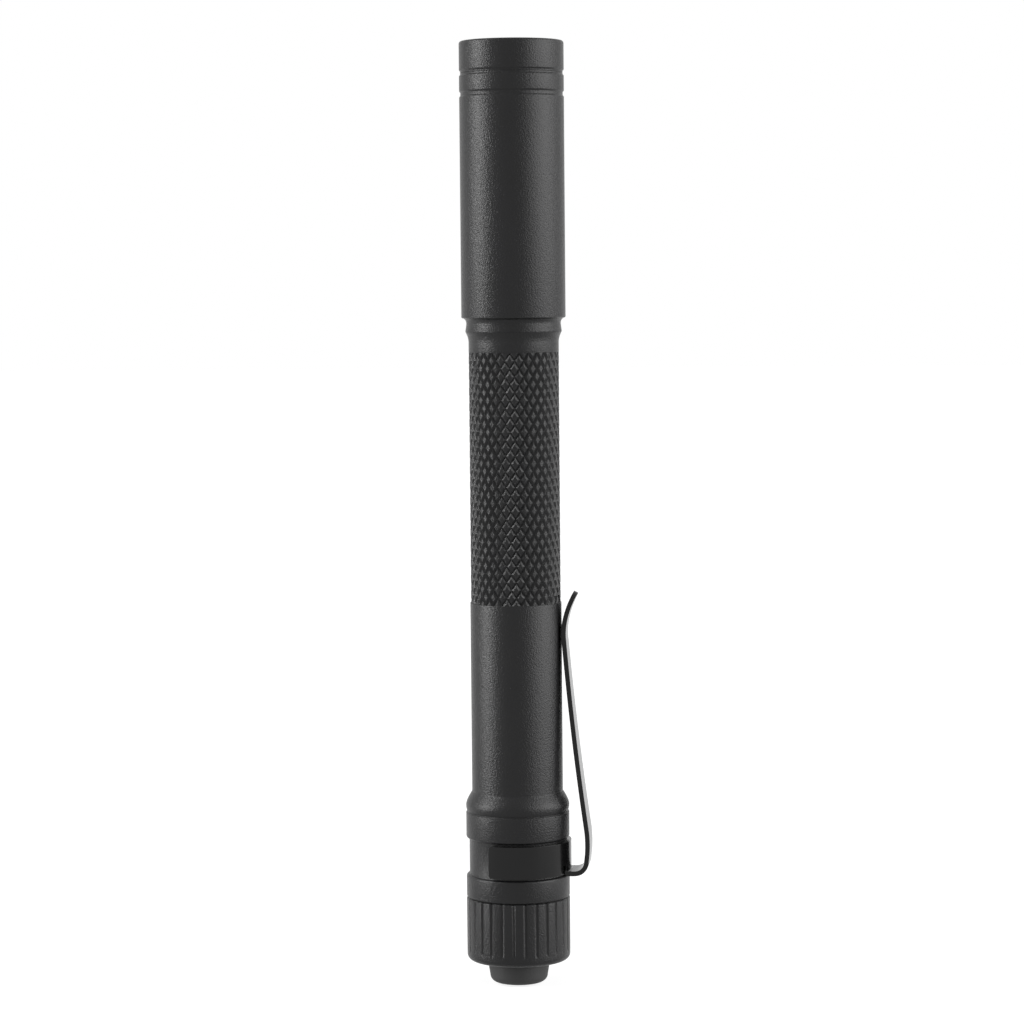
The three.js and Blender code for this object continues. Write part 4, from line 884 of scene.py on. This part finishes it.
for side in (1, -1):
    pick(clip, "edges", lambda at: (
        abs(at.x - pad_side_x) < NEAR and abs(at.y - side * CLIP_HALF) < NEAR and at.z > NOTCH_HIGH + NEAR))
    pull([(x, side * y) for x, y in wing])
    pick(clip, "edges", lambda at: abs(at.z - NOTCH_HIGH) < NEAR and at.x < notch_x and side * at.y > 0)
    down = (0, 0, (BAND_LOW - NOTCH_HIGH) * MM)
    bpy.ops.mesh.extrude_edges_move(TRANSFORM_OT_translate={"value": down})
pick(clip, "verts", lambda at: abs(at.x - notch_x) < NEAR and at.z < BAND_LOW + NEAR)
bpy.ops.mesh.bevel(offset=NOTCH_CORNER * MM, segments=CORNER_SEGMENTS, affect="VERTICES")
pick(clip, "verts", lambda at: at.x < wing_end_x + NEAR and abs(at.z - NOTCH_HIGH) > NEAR)
bpy.ops.mesh.bevel(offset=WING_CORNER * MM, segments=CORNER_SEGMENTS, affect="VERTICES")
bpy.ops.mesh.select_all(action="SELECT")
bpy.ops.mesh.normals_make_consistent(inside=False)
bpy.ops.object.mode_set(mode="OBJECT")
bpy.ops.object.transform_apply()
thickness = clip.modifiers.new("sheet thickness", "SOLIDIFY")
thickness.thickness = SHEET * MM
thickness.offset = 0
thickness.use_even_offset = True
bpy.ops.object.modifier_apply(modifier=thickness.name)
break_edges(clip, SHEET_EDGE, sharp=SHEET_SHARP)
evened = clip.modifiers.new("even shading", "WEIGHTED_NORMAL")
evened.keep_sharp = True
bpy.ops.object.modifier_apply(modifier=evened.name)

# Spring steel, stamped and coated black: smoother than the blasted case, with faint marks of the rolling
# along the strip, 0.1 mm apart and drawn out to 4 mm.
ROLL_PITCH, ROLL_LENGTH, ROLL_DEPTH = 0.1, 4.0, 0.004
coated_steel, tree, shader, place = new_finish(
    "spring steel, black satin coat", Base_Color=linear("#0b0b0b"), Specular_IOR_Level=0.22)
stretched = add(tree, "ShaderNodeMapping", {
    "Vector": place, "Scale": (1 / (ROLL_PITCH * MM), 1 / (ROLL_PITCH * MM), 1 / (ROLL_LENGTH * MM))})
marks = add(tree, "ShaderNodeTexNoise", {"Vector": stretched.outputs["Vector"], "Scale": 1.0, "Detail": 3.0})
sheen = add(tree, "ShaderNodeMapRange", {"Value": marks.outputs["Fac"], "To Min": 0.16, "To Max": 0.22})
scratches = add(tree, "ShaderNodeBump", {
    "Height": marks.outputs["Fac"], "Strength": 0.5, "Distance": ROLL_DEPTH * MM})
tree.links.new(sheen.outputs["Result"], shader.inputs["Roughness"])
tree.links.new(scratches.outputs["Normal"], shader.inputs["Normal"])
hand_over(clip, "pocket_clip", "pocket_clip", "black_spring_steel", coated_steel)

# The photographer's set, in metres: a pale floor under a white surround, and a tall soft light on each side.
# The floor glows white to the eye; near the object its glow is dimmed a little, a painted shade where its
# shadow falls.
FLOOR_SIZE, FLOOR_DROP = 6.0, 0.0002
PAINTED_SHADE_GLOW, GLOW_FAR, PAINTED_SHADE_FROM, PAINTED_SHADE_TO = 0.82, 0.97, 0.03, 0.5
SURROUND_LIGHT, SURROUND_SEEN = 0.3, 1.0


def seen_rays(tree):
    """1 for the rays that bring a thing to the eye, straight or off gloss or through glass; 0 for others."""
    rays = add(tree, "ShaderNodeLightPath").outputs
    first = add(tree, "ShaderNodeMath", {
        0: rays["Is Camera Ray"], 1: rays["Is Glossy Ray"]}, operation="MAXIMUM")
    both = add(tree, "ShaderNodeMath", {
        0: first.outputs[0], 1: rays["Is Transmission Ray"]}, operation="MAXIMUM")
    return both.outputs[0]


bpy.ops.object.select_all(action="DESELECT")
bpy.ops.mesh.primitive_plane_add(size=FLOOR_SIZE, location=(0, 0, -FLOOR_DROP))
floor = bpy.context.object
floor.name = "floor"
paper, tree, shader, place = new_finish(
    "matte white paper floor", Base_Color=linear("#8c8c8c"), Roughness=0.9, Specular_IOR_Level=0.0)
# Painted shade: the floor's glow rises from a dimmer level near the object to its full level further out.
away = add(tree, "ShaderNodeVectorMath", {0: place}, operation="LENGTH")
glow_with_painted_shade = add(tree, "ShaderNodeMapRange", {
    "Value": away.outputs["Value"], "From Min": PAINTED_SHADE_FROM, "From Max": PAINTED_SHADE_TO,
    "To Min": PAINTED_SHADE_GLOW, "To Max": GLOW_FAR})
glow_with_painted_shade = add(tree, "ShaderNodeMath", {0: seen_rays(tree), 1: glow_with_painted_shade.outputs["Result"]}, operation="MULTIPLY")
tree.links.new(glow_with_painted_shade.outputs[0], shader.inputs["Emission Strength"])
shader.inputs["Emission Color"].default_value = linear("#ffffff")
floor.data.materials.append(paper)

world = bpy.data.worlds.new("white surround")
bpy.context.scene.world = world
world.use_nodes = True
tree = world.node_tree
surround = tree.nodes["Background"]
surround.inputs["Color"].default_value = linear("#ffffff")
level = add(tree, "ShaderNodeMapRange", {
    "Value": seen_rays(tree), "To Min": SURROUND_LIGHT, "To Max": SURROUND_SEEN})
tree.links.new(level.outputs["Result"], surround.inputs["Strength"])


def soft_light(name, azimuth, distance, height, width, tall, power):
    """A tall soft box that faces the object's axis; azimuth in degrees from the camera's side."""
    angle = math.radians(azimuth)
    stand = (distance * math.sin(angle), -distance * math.cos(angle), height)
    bpy.ops.object.light_add(type="AREA", location=stand)
    lamp = bpy.context.object
    lamp.name = name
    lamp.data.shape = "RECTANGLE"
    lamp.data.size, lamp.data.size_y = width, tall
    lamp.data.energy = power
    aim = Vector((0, 0, height)) - lamp.location
    lamp.rotation_euler = aim.to_track_quat("-Z", "Y").to_euler()


soft_light("left soft box", azimuth=-75, distance=0.6, height=0.30, width=0.05, tall=0.7, power=8.0)
soft_light("right soft box", azimuth=79, distance=0.6, height=0.30, width=0.65, tall=0.7, power=8.8)

# The camera stands as the photograph's does: level with the upper barrel, tipped down and rolled a little.
LENS, DISTANCE, EYE, PITCH, ROLL, AZIMUTH, ASIDE = 114.96, 0.476, 0.1045, 4.23, 0.5036, 5.6, 0.00015
turned = math.radians(AZIMUTH)
bpy.ops.object.camera_add(
    location=(DISTANCE * math.sin(turned) - ASIDE * math.cos(turned),
              -DISTANCE * math.cos(turned) - ASIDE * math.sin(turned), EYE),
    rotation=(math.radians(90 - PITCH), math.radians(ROLL), turned))
camera = bpy.context.object
camera.data.lens = LENS
camera.data.sensor_width = 36
camera.data.clip_start = 0.01
bpy.context.scene.camera = camera
bpy.context.scene.view_settings.view_transform = "Standard"
